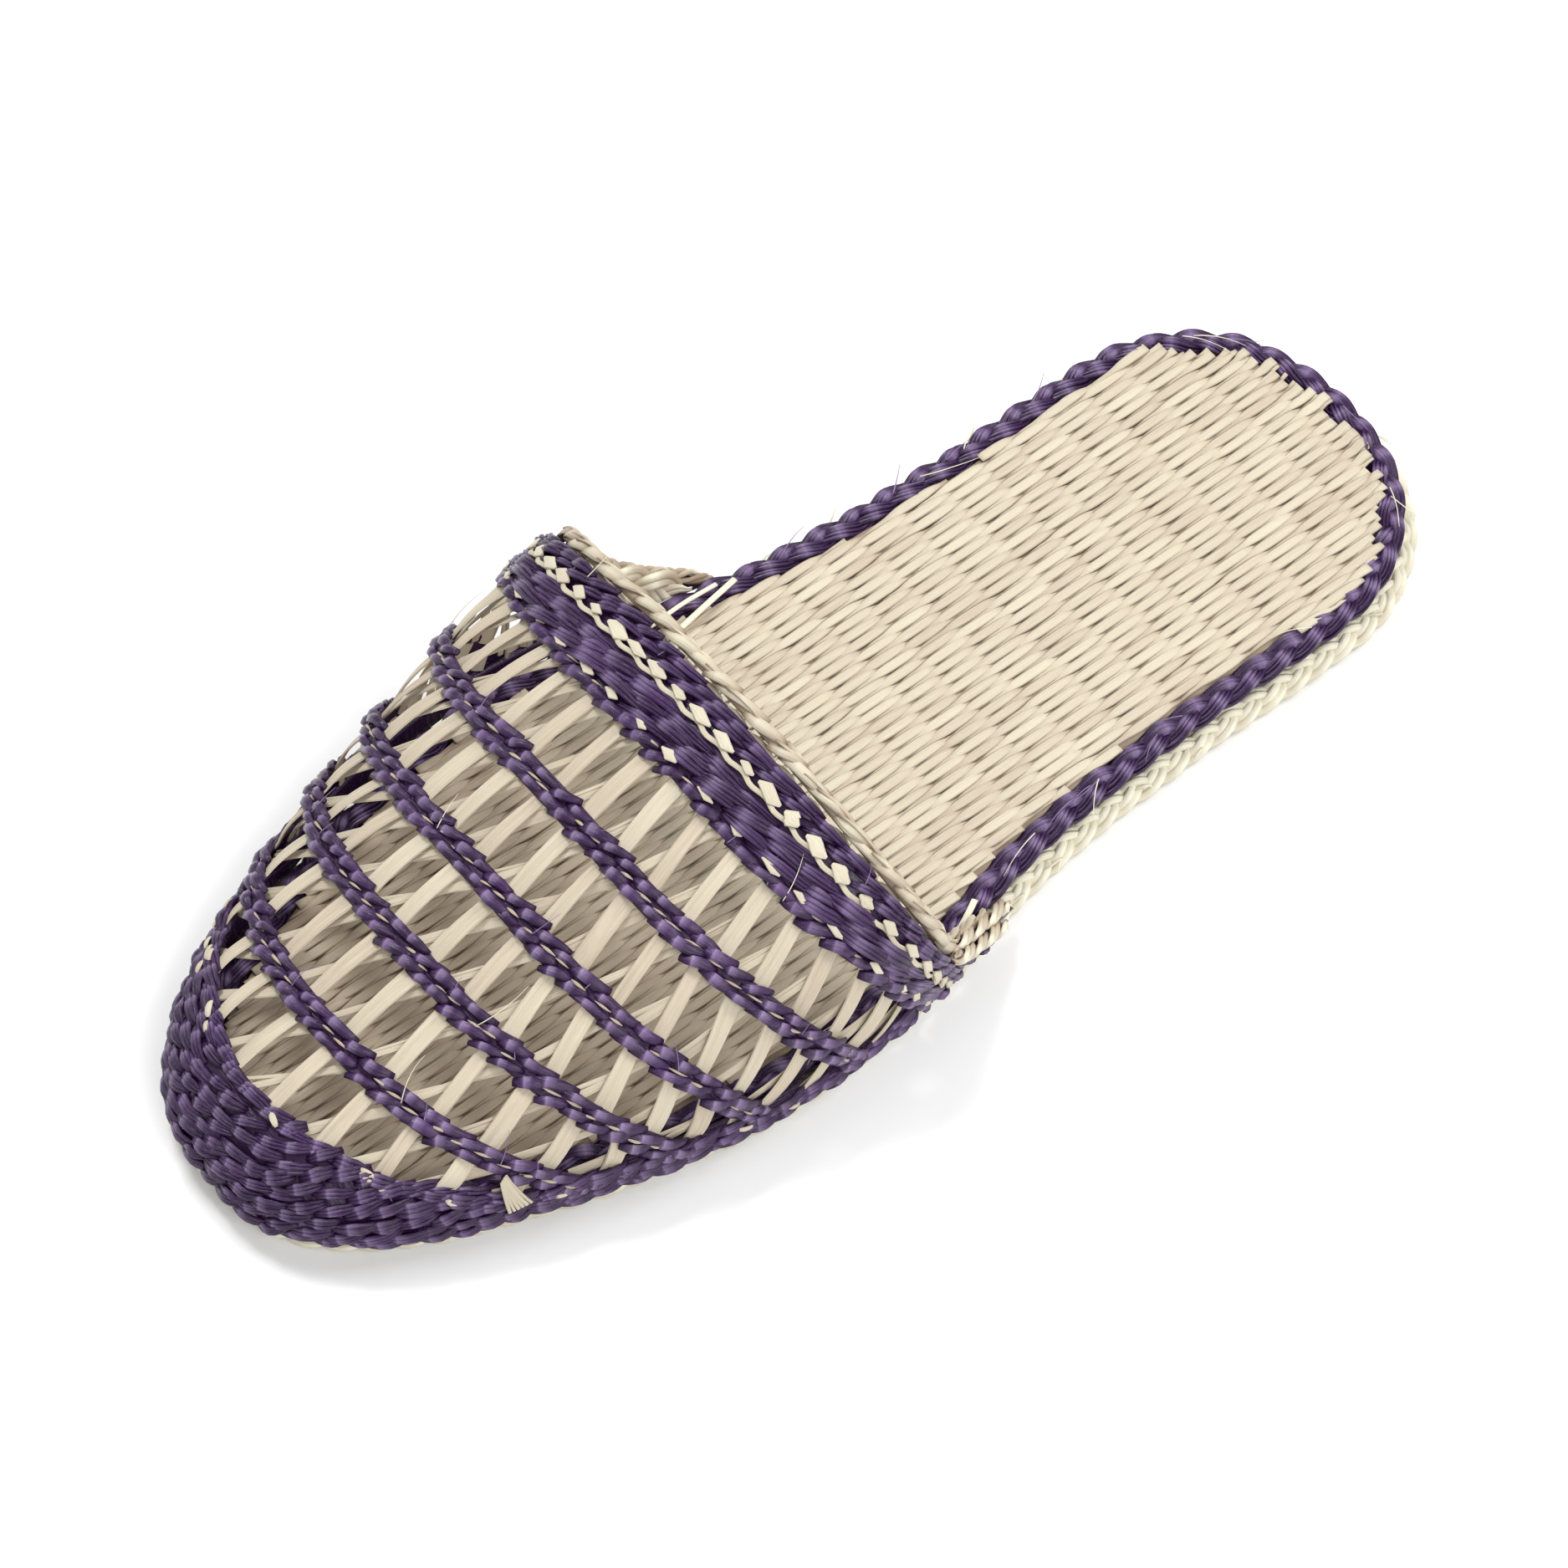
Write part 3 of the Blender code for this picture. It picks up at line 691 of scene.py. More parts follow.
def split_strand(bundle, path, up, half_width, half_thick, parts, shade, crest, closed=False):
    """A strand made of a few thinner straws lying side by side."""
    side, crown = axes(path, up, closed)
    run = distance_along(path)
    wave = 2 * pi * np.round(run[-1] / PART_SWAY_LENGTH + 1) / run[-1]
    for part in range(parts):
        place = (part - (parts - 1) / 2) * 2 / parts
        sway = PART_SWAY * np.sin(run * wave * (1 + part) + bundle.rng.uniform(0, 2 * pi))
        shift = (place * PART_SPREAD + sway / parts) * half_width
        sink = (bundle.rng.uniform(-PART_SINK, PART_SINK) - PART_SINK * place ** 2) * half_thick
        own = path + side * np.reshape(shift, (-1, 1)) + crown * np.reshape(sink, (-1, 1))
        width = half_width / parts * PART_OVERLAP
        tone = np.clip(shade + bundle.rng.uniform(-PART_TONE, PART_TONE), 0.0, 1.0)
        bundle.strand(own, up, width, half_thick, ROUND, tone, crest, closed)


def plait(bundle, path, up, periods, kind, closed=False):
    """Three strands plaited flat along a path; up is the face of the plait."""
    side, _ = axes(path, up, closed)
    run = distance_along(path)
    ends = 1.0 if closed else thin_ends(run, *PLAIT_ENDS)
    t = np.linspace(0.0, 2 * pi * periods, len(path), endpoint=not closed)
    for strand in range(3):
        phase = t + 2 * pi * strand / 3
        swing = np.sin(phase)[:, None]
        lift = np.sin(2 * phase)[:, None]
        own = path + side * swing * kind.reach + up * lift * kind.rise
        lean = swing * kind.roll
        face = up * np.cos(lean) + side * np.sin(lean)
        # Painted highlight where a strand lies on top, painted shade where it dips under
        crest = kind.top - kind.dip * (0.5 - 0.5 * lift[:, 0])
        shade = bundle.rng.uniform(*kind.shades)
        split_strand(bundle, own, face, kind.half_width * ends, kind.half_thick * ends,
                     kind.parts, shade, crest, closed)


def rope(bundle, path, up, kind):
    """Two strands twisted round each other along an open path."""
    side, _ = axes(path, up)
    run = distance_along(path)
    drift = ROPE_DRIFT * np.sin(run / ROPE_DRIFT_LENGTH + bundle.rng.uniform(0, 2 * pi))
    ends = thin_ends(run, *ROPE_ENDS)
    for start in (0.0, 0.5):
        t = 2 * pi * (run / kind.lay + start) + drift
        radial = side * np.cos(t)[:, None] + up * np.sin(t)[:, None]
        own = path + side * (kind.spread * ends * np.cos(t))[:, None]
        own = own + up * (kind.rise * ends * np.sin(t))[:, None]
        # Painted shade where a ply turns under, painted highlight where it turns up
        crest = 0.55 + 0.45 * np.sin(t)
        shade = bundle.rng.uniform(*ROPE_SHADES)
        split_strand(bundle, own, radial, kind.half_width * ends, kind.half_thick * ends,
                     kind.parts, shade, crest)


def float_row(bundle, path, up, kind, phase):
    """A row of short straws, each rising over the row and diving under the next."""
    row = Run(path, up)
    sides = row.sides()
    place = (phase - 0.5) * kind.pitch
    count = 7 if kind.length < LONG_FLOAT else 13
    t = np.linspace(-0.5, 0.5, count)
    dome = np.cos(pi * t * FLOAT_ARCH)
    taper = FLOAT_TIP + (1 - FLOAT_TIP) * dome
    # Crest: a painted highlight peaking at FLOAT_GLEAM_AT, and painted shade at both ends
    gleam = np.sin(pi / 2 * np.interp(t, (-0.5, FLOAT_GLEAM_AT, 0.5), (0.0, 1.0, 0.0)))
    crest = FLOAT_LOW_CREST + (kind.top - FLOAT_LOW_CREST) * gleam
    while place < row.length + kind.pitch / 2:
        vary = FloatVary(*(bundle.rng.uniform(-1.0, 1.0, 6) * FLOAT_VARY))
        half = kind.length * (0.5 + vary.length)
        start = max(place - half, 0.0)
        end = min(place + half, row.length)
        place += kind.pitch * (1 + vary.pitch)
        if end - start < kind.length * FLOAT_LEAST:
            continue
        s = np.linspace(start, end, count)
        base, crown = row.at(s)
        cross = unit(read_at(s, row.offsets, sides))
        sway = kind.slant * t * (1 + vary.slant) + vary.shift * kind.half_width
        height = kind.low + kind.rise * dome * (1 + vary.rise)
        own = base + cross * sway[:, None] + crown * height[:, None]
        width = kind.half_width * (1 + vary.width)
        shade = bundle.rng.uniform(0.0, 1.0) ** kind.dark
        split_strand(bundle, own, crown, width * taper, kind.half_thick * taper, kind.parts,
                     shade, crest)


def core(bundle, path, up, half_width, height):
    """A flat strand under a row of floats, painted dark as shade in the chinks between them."""
    bundle.strand(path + up * height, up, half_width, **CORE)


def float_shape(bundle, place):
    """Plumpness of a mat's straw along its float, and its depth in the slit at the float's end."""
    wave = np.cos(pi * place)
    plump = np.tanh(PLUMP_FLATNESS * wave) / np.tanh(PLUMP_FLATNESS)
    sunk = np.clip((SLIT_FROM - wave) / SLIT_FADE, 0.0, 1.0)
    sunk = sunk * sunk * (3 - 2 * sunk)
    bites = bundle.rng.uniform(*BITES, MAT_TONES)
    bites = bites[np.floor(place / 2).astype(int) % MAT_TONES]
    bitten = np.exp(-((np.mod(place, 2.0) - BITE_AT) / BITE_WIDTH) ** 2)
    return plump, sunk * (SLIT_SHALLOW + (1 - SLIT_SHALLOW) * bites * bitten)


def weave_mat(bundle, kind):
    """Lengthwise straw dipping under cross rows that it hides, over a flat backing."""
    outline, _ = sole_outline(kind.out, 160)
    backing = sorted((kind.face_z - kind.side * (kind.drop + MAT_BACKING_GAP), kind.back_z))
    # The mat's backing is painted darker, as shade between the straws
    bundle.slab(outline, *backing, shade=0.2, crest=0.35)
    count = int((HEEL_Y - TOE_Y) / kind.step)
    heel_end = HEEL_Y + kind.out - MAT_MARGIN + kind.ragged
    y = np.linspace(TOE_Y - kind.out + MAT_MARGIN, heel_end, count)
    axis, half = sole_edge(y, kind.out)
    reach = int(MAT_REACH / kind.pitch)
    row_shift = bundle.rng.uniform(-MAT_ROW_SHIFT, MAT_ROW_SHIFT, len(MAT_ROWS))
    stubs = bundle.rng.uniform(0.2, kind.ragged + 0.2, 2 * reach + 2)
    row_place = y / kind.row
    row_place = row_place + np.interp(row_place, MAT_ROWS, row_shift)
    # Share of the mat clear of the upper; where it is less, shade is painted
    unshaded = np.clip((y - SHADED_Y) / SHADE_FADE, 0.0, 1.0)
    up = np.tile(UP * kind.side, (count, 1))
    for k in range(-reach, reach + 1):
        sway = bundle.rng.uniform(0, 2 * pi, len(MAT_SWAYS))
        x = (k + 0.5) * kind.pitch + kind.turn * y
        for (share, wave), phase in zip(MAT_SWAYS, sway):
            x = x + share * kind.pitch * np.sin(y / wave + phase)
        inside = np.abs(x - axis) < half - 0.1
        over = np.zeros(count)
        if kind.ragged:
            stub = stubs[k // 2 + reach]
            heel = y > HEEL_Y - RAGGED_HEEL
            inside |= heel & (np.abs(x - axis) < sole_edge(y, kind.out + stub)[1])
            climb = (np.abs(x - axis) - half + OVER_PLAIT_FROM) / OVER_PLAIT_RUN
            over[heel] = np.clip(climb, 0.0, 1.0)[heel]
        place = row_place + k + kind.turn * x / kind.row
        place = place + bundle.rng.uniform(-MAT_FLOAT_SHIFT, MAT_FLOAT_SHIFT)
        place = place + MAT_FLOAT_SWAY * np.sin(y / MAT_FLOAT_WAVE + sway[1])
        plump, slit = float_shape(bundle, place)
        z = kind.face_z - kind.side * (kind.half_thick + kind.drop * slit)
        z = z + over * OVER_PLAIT_RISE
        width = kind.pitch * (MAT_WIDTH + MAT_PLUMP * plump) * bundle.rng.uniform(*MAT_WIDTH_VARY)
        tones = np.clip(bundle.rng.normal(0.5, kind.spread, MAT_TONES), 0.0, 1.0)
        tone = tones[np.round(place / 2).astype(int) % MAT_TONES]
        # Painted shade under the upper: the tone falls there
        tone = tone * np.clip(unshaded, SHADED_TONE, 1.0)
        # Crest: painted shade in the slits and under the upper, kept off where a straw climbs over
        # the plait, and a faint painted highlight elsewhere
        crest = MAT_CREST + MAT_UNSHADED_CREST * unshaded - MAT_SLIT_CREST * slit * (1 - over)
        path = np.column_stack((x, y, z))
        edges = np.flatnonzero(np.diff(np.concatenate(([0], inside.astype(int), [0]))))
        for start, end in zip(edges[::2], edges[1::2]):
            if (end - start) * kind.step < SHORTEST_STRAW:
                continue
            run = slice(start, end)
            bundle.strand(path[run], up[run], width[run], kind.half_thick, GRAIN,
                          np.repeat(tone[run], len(GRAIN)), crest[run])


def woven_lines():
    """Front line and rear line of each woven row, from toe to collar."""
    fronts = [CAP_EDGE] + [shifted(band, BAND_HALF) for band in BANDS]
    rears = [shifted(band, -BAND_HALF) for band in BANDS] + [COLLAR_FRONT]
    return zip(fronts, rears)


def ribbons_between(bundle, front, rear, front_offsets, rear_offsets, kind):
    """Flat ribbons from offsets on a front line to offsets on a rear line."""
    shares = np.linspace(-RIBBON_OVERRUN, 1 + RIBBON_OVERRUN, RIBBON_POINTS)
    rise = kind.low + kind.rise * np.clip(np.sin(pi * np.clip(shares, 0, 1)), 0, 1)
    paths = []
    normals = []
    room = []
    for share, height in zip(shares, rise):
        line = blend(front, rear, share)
        run = line_run(line)
        offsets = front_offsets + (rear_offsets - front_offsets) * share
        points, normal = run.at(offsets)
        paths.append(points + normal * height)
        normals.append(normal)
        clear = np.minimum(offsets - run.offsets[0], run.offsets[-1] - offsets)
        room.append(clear - line.rand * RIBBON_TUCK)
    paths = np.array(paths)
    normals = np.array(normals)
    room = np.array(room)
    chord = paths[0] + (paths[-1] - paths[0]) * np.linspace(0.0, 1.0, len(shares))[:, None, None]
    paths = paths + (chord - paths) * RIBBON_STRAIGHT
    for k in range(paths.shape[1]):
        fits = np.flatnonzero(room[:, k] > 0)
        if len(fits) < 4:
            continue
        run = slice(fits[0], fits[-1] + 1)
        width = bundle.rng.uniform(*kind.half_width)
        taper = 1.0 + bundle.rng.uniform(-RIBBON_TAPER, RIBBON_TAPER) * (shares[run] - 0.5) * 2
        shade = bundle.rng.uniform(*RIBBON_SHADES)
        twist = bundle.rng.uniform(-kind.tilt, kind.tilt)
        across, _ = axes(paths[run, k], normals[run, k])
        face = unit(normals[run, k] + across * twist)
        section = CREASED if bundle.rng.uniform() < kind.creased else FLAT
        bundle.strand(paths[run, k], face, width * taper, kind.half_thick, section, shade,
                      kind.crest)


def cap_grid():
    """Points and normals of the toe cap, from its foot at the tip to its edge."""
    places = np.linspace(0.0, 1.0, 161)
    points = []
    normals = []
    for share in np.linspace(-CAP_LIP, 1.0, 49):
        run = line_run(blend(TIP, CAP_EDGE, max(share, 0.0)))
        row, normal = run.at(run.offsets[0] + places * run.length)
        if share < 0:
            chord = row[:1] + (row[-1:] - row[:1]) * places[:, None]
            row = chord + (row - chord) * (1 + share / CAP_LIP)
            normal = unit(normal * (1 + share / CAP_LIP) + np.array((0.0, -1.0, 0.0)) * 1.2)
        points.append(row)
        normals.append(normal)
    return np.array(points), np.array(normals)


def read_grid(grid, i, j):
    """A grid read between its rows and columns."""
    a = i.astype(int)
    b = j.astype(int)
    u = (i - a)[:, None]
    v = (j - b)[:, None]
    near = grid[a, b] * (1 - v) + grid[a, b + 1] * v
    far = grid[a + 1, b] * (1 - v) + grid[a + 1, b + 1] * v
    return near * (1 - u) + far * u


def cap_rays():
    """Depth above the foot, points and normals on rays from the cap's foot to its edge's middle."""
    points, normals = cap_grid()
    rows, columns = points.shape[:2]
    foot = np.concatenate((points[::-1, 0], points[0], points[:, -1]))
    gaps = points[:, :, None] - foot[None, None]
    depth = np.sqrt((gaps ** 2).sum(axis=-1).min(axis=-1))
    steps = np.linspace(1.0, 0.0, 200)
    rays = []
    for angle in np.linspace(0.0, pi, 241):
        reach = min(1 / max(abs(sin(angle)), 1e-6), 1 / max(abs(cos(angle)), 1e-6))
        share = 1 - (1 + CAP_LIP) * steps * reach * sin(angle)
        place = 0.5 - 0.5 * steps * reach * cos(angle)
        i = np.clip((share + CAP_LIP) / (1 + CAP_LIP) * (rows - 1), 0, rows - 1.001)
        j = np.clip(place * (columns - 1), 0, columns - 1.001)
        rays.append((read_grid(depth[..., None], i, j)[:, 0], read_grid(points, i, j),
                     read_grid(normals, i, j)))
    return rays


def rand_lines():
    """Lines along the rand from the cap's edge to the collar."""
    lines = [CAP_EDGE] + list(BANDS) + [shifted(COLLAR_FRONT, -0.6)]
    made = []
    for front, rear in zip(lines, lines[1:]):
        made += [blend(front, rear, share) for share in np.linspace(0.0, 1.0, RAND_STEPS)[:-1]]
    return made + [lines[-1]]


def cap_rows(levels):
    """Paths of the rows round the toe and along both sides, each at a distance from the foot."""
    rays = cap_rays()
    rand = [(line.rand, line_run(line)) for line in rand_lines()]
    for level in levels:
        runs = [run for height, run in rand if height > level + RAND_CLEAR][1:]
        pieces = [[run.from_foot(level, 1) for run in reversed(runs)]]
        for depths, row, normal in rays:
            above = np.flatnonzero(depths >= level)
            if len(above) == 0:
                pieces.append([])
                continue
            n = max(above[0], 1)
            u = np.clip((level - depths[n - 1]) / max(depths[n] - depths[n - 1], 1e-6), 0, 1)
            pieces[-1].append((row[n - 1] + (row[n] - row[n - 1]) * u,
                               normal[n - 1] + (normal[n] - normal[n - 1]) * u))
        pieces[-1] += [run.from_foot(level, -1) for run in runs]
        for piece in pieces:
            if len(piece) > 8:
                spots = np.array(piece)
                yield even_path(softened(spots[:, 0], 4), unit(spots[:, 1]), CAP_STEP)


def rand_edge(inset, step):
    """The border of the cap: up one side of the rand, over the cap's edge, down the other."""
    lines = rand_lines()[1:]
    edge = line_run(shifted(CAP_EDGE, -inset))
    keep = (edge.offsets > edge.offsets[0] + CAP_EDGE.rand)
    keep &= (edge.offsets < edge.offsets[-1] - CAP_EDGE.rand)
    spots = [line_run(line).from_foot(line.rand - inset, 1) for line in reversed(lines)]
    spots += list(zip(edge.points[keep][::3], edge.normals[keep][::3]))
    spots += [line_run(line).from_foot(line.rand - inset, -1) for line in lines]
    spots = np.array(spots)
    return even_path(softened(spots[:, 0], 3), unit(spots[:, 1]), step)


def add_cap_backing(bundle):
    """Thin sheets behind the rows of the cap and its rand, painted dark as shade."""
    points, normals = cap_grid()
    bundle.shell(points[::2, ::4], normals[::2, ::4], **CAP_BACKING)
    for side in (1, -1):
        rows = []
        for line in rand_lines():
            run = line_run(line)
            row = [run.from_foot(line.rand * share, side) for share in np.linspace(0.0, 0.94, 5)]
            rows.append(row[::side])
        grid = np.array(rows)
        bundle.shell(grid[:, :, 0], grid[:, :, 1], **CAP_BACKING)


def add_cuff_backing(bundle):
    """A thin sheet behind the rows of the cuff, painted dark as shade."""
    rows = []
    for share in np.linspace(0.03, 0.97, 9):
        run = line_run(blend(COLLAR_FRONT, COLLAR_REAR, share))
        rows.append(run.at(np.linspace(run.offsets[0] + 0.6, run.offsets[-1] - 0.6, 61)))
    grid = np.array(rows)
    bundle.shell(grid[:, 0], grid[:, 1], **CUFF_BACKING)


def short_straw(bundle, row, place, across, kind):
    """A short flat straw along a row; both of its ends tuck in."""
    longer, steeper, wider, _ = bundle.rng.uniform(-1.0, 1.0, 4) * STRAW_VARY
    t = np.linspace(-0.5, 0.5, 9)
    at = place + t * kind.length * (1 + longer)
    dome = np.cos(pi * t * STRAW_ARCH) ** kind.plateau
    sway = across + kind.slant * t * (1 + steeper)
    path, normals = row.at(at)
    path = path + read_at(at, row.offsets, row.sides()) * sway[:, None]
    path = path + normals * (kind.low + kind.rise * dome)[:, None]
    width = kind.half_width * (1 + wider) * (STRAW_TIP + (1 - STRAW_TIP) * dome)
    # Its crest lays painted shade over it, and a painted highlight over the lighter kinds
    bundle.strand(path, normals, width, kind.half_thick, FLAT, bundle.rng.uniform(*kind.tones),
                  0.5 + 0.38 * kind.tones[1])


def diamond(bundle, row, place, kind):
    """A flat straw cut to a leaning diamond by the rows beside it."""
    leaning, longer, wider, _ = bundle.rng.uniform(-1.0, 1.0, 4) * DIAMOND_VARY
    corner = DIAMOND_CORNER + leaning
    t = np.array((-0.5, -0.42, -corner, 0.0, corner, 0.42, 0.5))
    at = place + t * kind.length * (1 + longer)
    far = np.interp(t, (-0.5, corner, 0.5), (0.2, 1.0, 0.2))
    near = -np.interp(t, (-0.5, -corner, 0.5), (0.2, 1.0, 0.2))
    wide = kind.half_width * (1 + wider)
    path, normals = row.at(at)
    path = path + read_at(at, row.offsets, row.sides()) * (wide * (far + near) / 2)[:, None]
    path = path + normals * (kind.low + kind.rise * (0.25 - t * t))[:, None]
    # Its crest lays a painted highlight over it
    bundle.strand(path, normals, wide * (far - near) / 2, kind.half_thick, FLAT,
                  bundle.rng.uniform(0.4, 1.0), 0.9)


def spaced(row, pitch, clear):
    """Offsets at a pitch from the crown to both sides, clear of the feet."""
    reach = int((row.offsets[-1] - clear) / pitch)
    return np.arange(-reach, reach + 1) * pitch


def add_collar_checks(bundle, pitch):
    """The row of diamonds along the cuff, the thin straw that links them, and the front dots."""
    row = line_run(blend(COLLAR_FRONT, CUFF_REAR, PLATE_SHARE))
    for place in spaced(row, pitch, 5.0):
        diamond(bundle, row, place + bundle.rng.uniform(-0.4, 0.4), PLATE)
    path, up, offsets = along_line(blend(COLLAR_FRONT, CUFF_REAR, LINK_SHARE), 6.0, 0.9, 1.5)
    side, _ = axes(path, up)
    wave = np.cos(2 * pi * offsets / pitch)
    path = path + side * (0.3 * wave)[:, None] - up * (0.25 * wave)[:, None]
    # Its crest lays a little painted highlight over it
    bundle.strand(path, up, 0.48, 0.2, FLAT, 0.7, 0.85)
    row = line_run(blend(COLLAR_FRONT, CUFF_REAR, DOT_SHARE))
    step = WOVEN_ROWS[-1].pitch
    for place in spaced(row, step, 7.0):
        place = place + bundle.rng.uniform(-0.9, 0.9)
        diamond(bundle, row, place, DOT)
        if bundle.rng.uniform() < 0.5:
            short_straw(bundle, row, place + step / 2, -0.6, DASH)


def add_band_dashes(bundle):
    """Dashes of natural straw between the two rows of each band."""
    for band in BANDS:
        row = line_run(band)
        for place in spaced(row, DASH_PITCH, band.rand + 3.0):
            if bundle.rng.uniform() < 0.85:
                place = place + bundle.rng.uniform(-0.9, 0.9)
                short_straw(bundle, row, place, bundle.rng.uniform(-0.35, 0.35), DASH)


def add_cap_bits(bundle):
    """Bits of natural straw along the edge of the cap and its rand."""
    row = line_run(shifted(CAP_EDGE, -1.6))
    for place in bundle.rng.uniform(-44.0, 44.0, 8):
        short_straw(bundle, row, place, bundle.rng.uniform(-1.2, 0.8), BIT)
    row = Run(*rand_edge(1.6, 1.0))
    for place in np.arange(4.0, row.length - 4.0, BIT_PITCH):
        if bundle.rng.uniform() < 0.4:
            place = place + bundle.rng.uniform(-3.0, 3.0)
            short_straw(bundle, row, place, bundle.rng.uniform(-1.6, 0.8), BIT)


def add_frayed_end(bundle):
    """A ribbon's frayed end that hangs over the rand on the outer side."""
    for side in np.linspace(-1.0, 1.0, FRAY_STRAWS):
        spots = []
        for t in np.linspace(0.0, 1.0, FRAY_POINTS):
            line = blend(CAP_EDGE, BANDS[0], 0.75 - 0.65 * t)
            run = line_run(shifted(line, side * (1.0 + 1.4 * t)))
            spots.append(run.from_foot(20.5 - 8.0 * t + 0.8 * side, 1))
        spots = np.array(spots)
        up = spots[:, 1]
        path = spots[:, 0] + up * np.linspace(1.3, 2.4, FRAY_POINTS)[:, None]
        # Its crest lays a little painted shade and painted highlight over it
        bundle.strand(path, up, bundle.rng.uniform(0.27, 0.38), 0.2, FLAT,
                      bundle.rng.uniform(0.2, 1.0), 0.8)


def hair(bundle, start, ahead, length, up=UP, radius=HAIR_RADIUS):
    """A loose fibre that leaves the straw at a slant and bends back."""
    t = np.linspace(0.0, 1.0, HAIR_POINTS)
    ahead = ahead / np.linalg.norm(ahead)
    across = np.cross(ahead, up)
    turn = bundle.rng.uniform(-HAIR_TURN, HAIR_TURN)
    heading = ahead * cos(turn) + across * sin(turn)
    bend = bundle.rng.uniform(-HAIR_BEND, HAIR_BEND) * length
    lift = bundle.rng.uniform(*HAIR_LIFT) * length
    path = start + np.outer(t * length, heading) + np.outer(t * t * bend, across)
    path = path + np.outer(np.sin(pi * t) * lift, up)
    half = radius * (1.1 - 0.7 * t)
    # Its full crest lays the painted highlight over the whole fibre
    bundle.strand(path, np.tile(up, (HAIR_POINTS, 1)), half, half, GRAIN,
                  bundle.rng.uniform(0.4, 1.0))


def feed(tree, socket, value):
    """Link a socket to the output that feeds it, or give it a plain value."""
    if isinstance(value, bpy.types.NodeSocket):
        tree.links.new(value, socket)
    else:
        socket.default_value = value


def add_node(tree, kind, inputs=(), **settings):
    """A node with its settings, and its inputs by name or number."""
    node = tree.nodes.new(kind)
    for name, value in settings.items():
        setattr(node, name, value)
    for name, value in dict(inputs).items():
        feed(tree, node.inputs[name], value)
    return node


def math_node(tree, operation, *values, clamp=False):
    node = add_node(tree, "ShaderNodeMath", enumerate(values), operation=operation, use_clamp=clamp)
    return node.outputs[0]


def mix_node(tree, factor, a, b):
    """Two colours mixed; the numbers are the colour sockets of the Mix node."""
    node = add_node(tree, "ShaderNodeMix", data_type="RGBA")
    for number, value in ((0, factor), (6, a), (7, b)):
        feed(tree, node.inputs[number], value)
    return node.outputs[2]


def new_group(name, inputs, outputs):
    """A shader group with named sockets: its tree, what is given to it and what it puts out."""
    tree = bpy.data.node_groups.new(name, "ShaderNodeTree")
    for direction, sockets in (("INPUT", inputs), ("OUTPUT", outputs)):
        for label, kind in sockets:
            tree.interface.new_socket(name=label, in_out=direction, socket_type="NodeSocket" + kind)
    return tree, tree.nodes.new("NodeGroupInput").outputs, tree.nodes.new("NodeGroupOutput").inputs


def make_fibre_group():
    """Fine streaks along each straw, with slower changes from place to place."""
    tree, given, result = new_group(
        "Straw fibres", (("Vector", "Vector"), ("Along", "Float"), ("Across", "Float")),
        (("Streak", "Float"), ("Patch", "Float")))
    scale = add_node(tree, "ShaderNodeCombineXYZ", {"X": given["Along"], "Y": given["Across"]})
    stretched = add_node(tree, "ShaderNodeVectorMath", {0: given["Vector"], 1: scale.outputs[0]},
                         operation="MULTIPLY")
    streak = add_node(tree, "ShaderNodeTexNoise", {
        "Vector": stretched.outputs[0], "Scale": 1.0, "Detail": 4.0, "Roughness": 0.62})
    patch = add_node(tree, "ShaderNodeTexNoise", {
        "Vector": given["Vector"], "Scale": 1.3, "Detail": 2.0})
    spread = add_node(tree, "ShaderNodeMapRange", {
        "Value": streak.outputs["Fac"], "From Min": 0.4, "From Max": 0.75})
    feed(tree, result["Streak"], spread.outputs["Result"])
    feed(tree, result["Patch"], patch.outputs["Fac"])
    return tree


def make_tone_group():
    """Straw colour from its streaks and own shade, with painted shade and highlight by its depth.
    """
    values = ("Streak", "Patch", "Shade", "Crest", "Contrast", "Sheen", "Glint")
    tree, given, result = new_group(
        "Straw tones", [(name, "Color") for name in TONES] + [(name, "Float") for name in values],
        (("Colour", "Color"),))
    own = mix_node(tree, given["Shade"], given["Dark"], given["Light"])
    body = mix_node(tree, 0.5, own, given["Body"])
    strength = math_node(tree, "MULTIPLY", given["Streak"], given["Contrast"])
    streaked = mix_node(tree, strength, body, given["Light"])
    patched = math_node(tree, "MULTIPLY", given["Patch"], given["Contrast"])
    patched = mix_node(tree, math_node(tree, "MULTIPLY", patched, 0.5), streaked, given["Dark"])
    # Painted highlight: the gleam colour where the crest is near its top
    high = math_node(tree, "POWER", given["Crest"], given["Glint"])
    high = math_node(tree, "MULTIPLY", high, given["Sheen"])
    lit = mix_node(tree, high, patched, given["Gleam"])
    # Painted shade: the deep colour where the crest is low
    low = math_node(tree, "SUBTRACT", 1.0, given["Crest"], clamp=True)
    low = math_node(tree, "POWER", low, 1.7)
    feed(tree, result["Colour"], mix_node(tree, low, lit, given["Deep"]))
    return tree


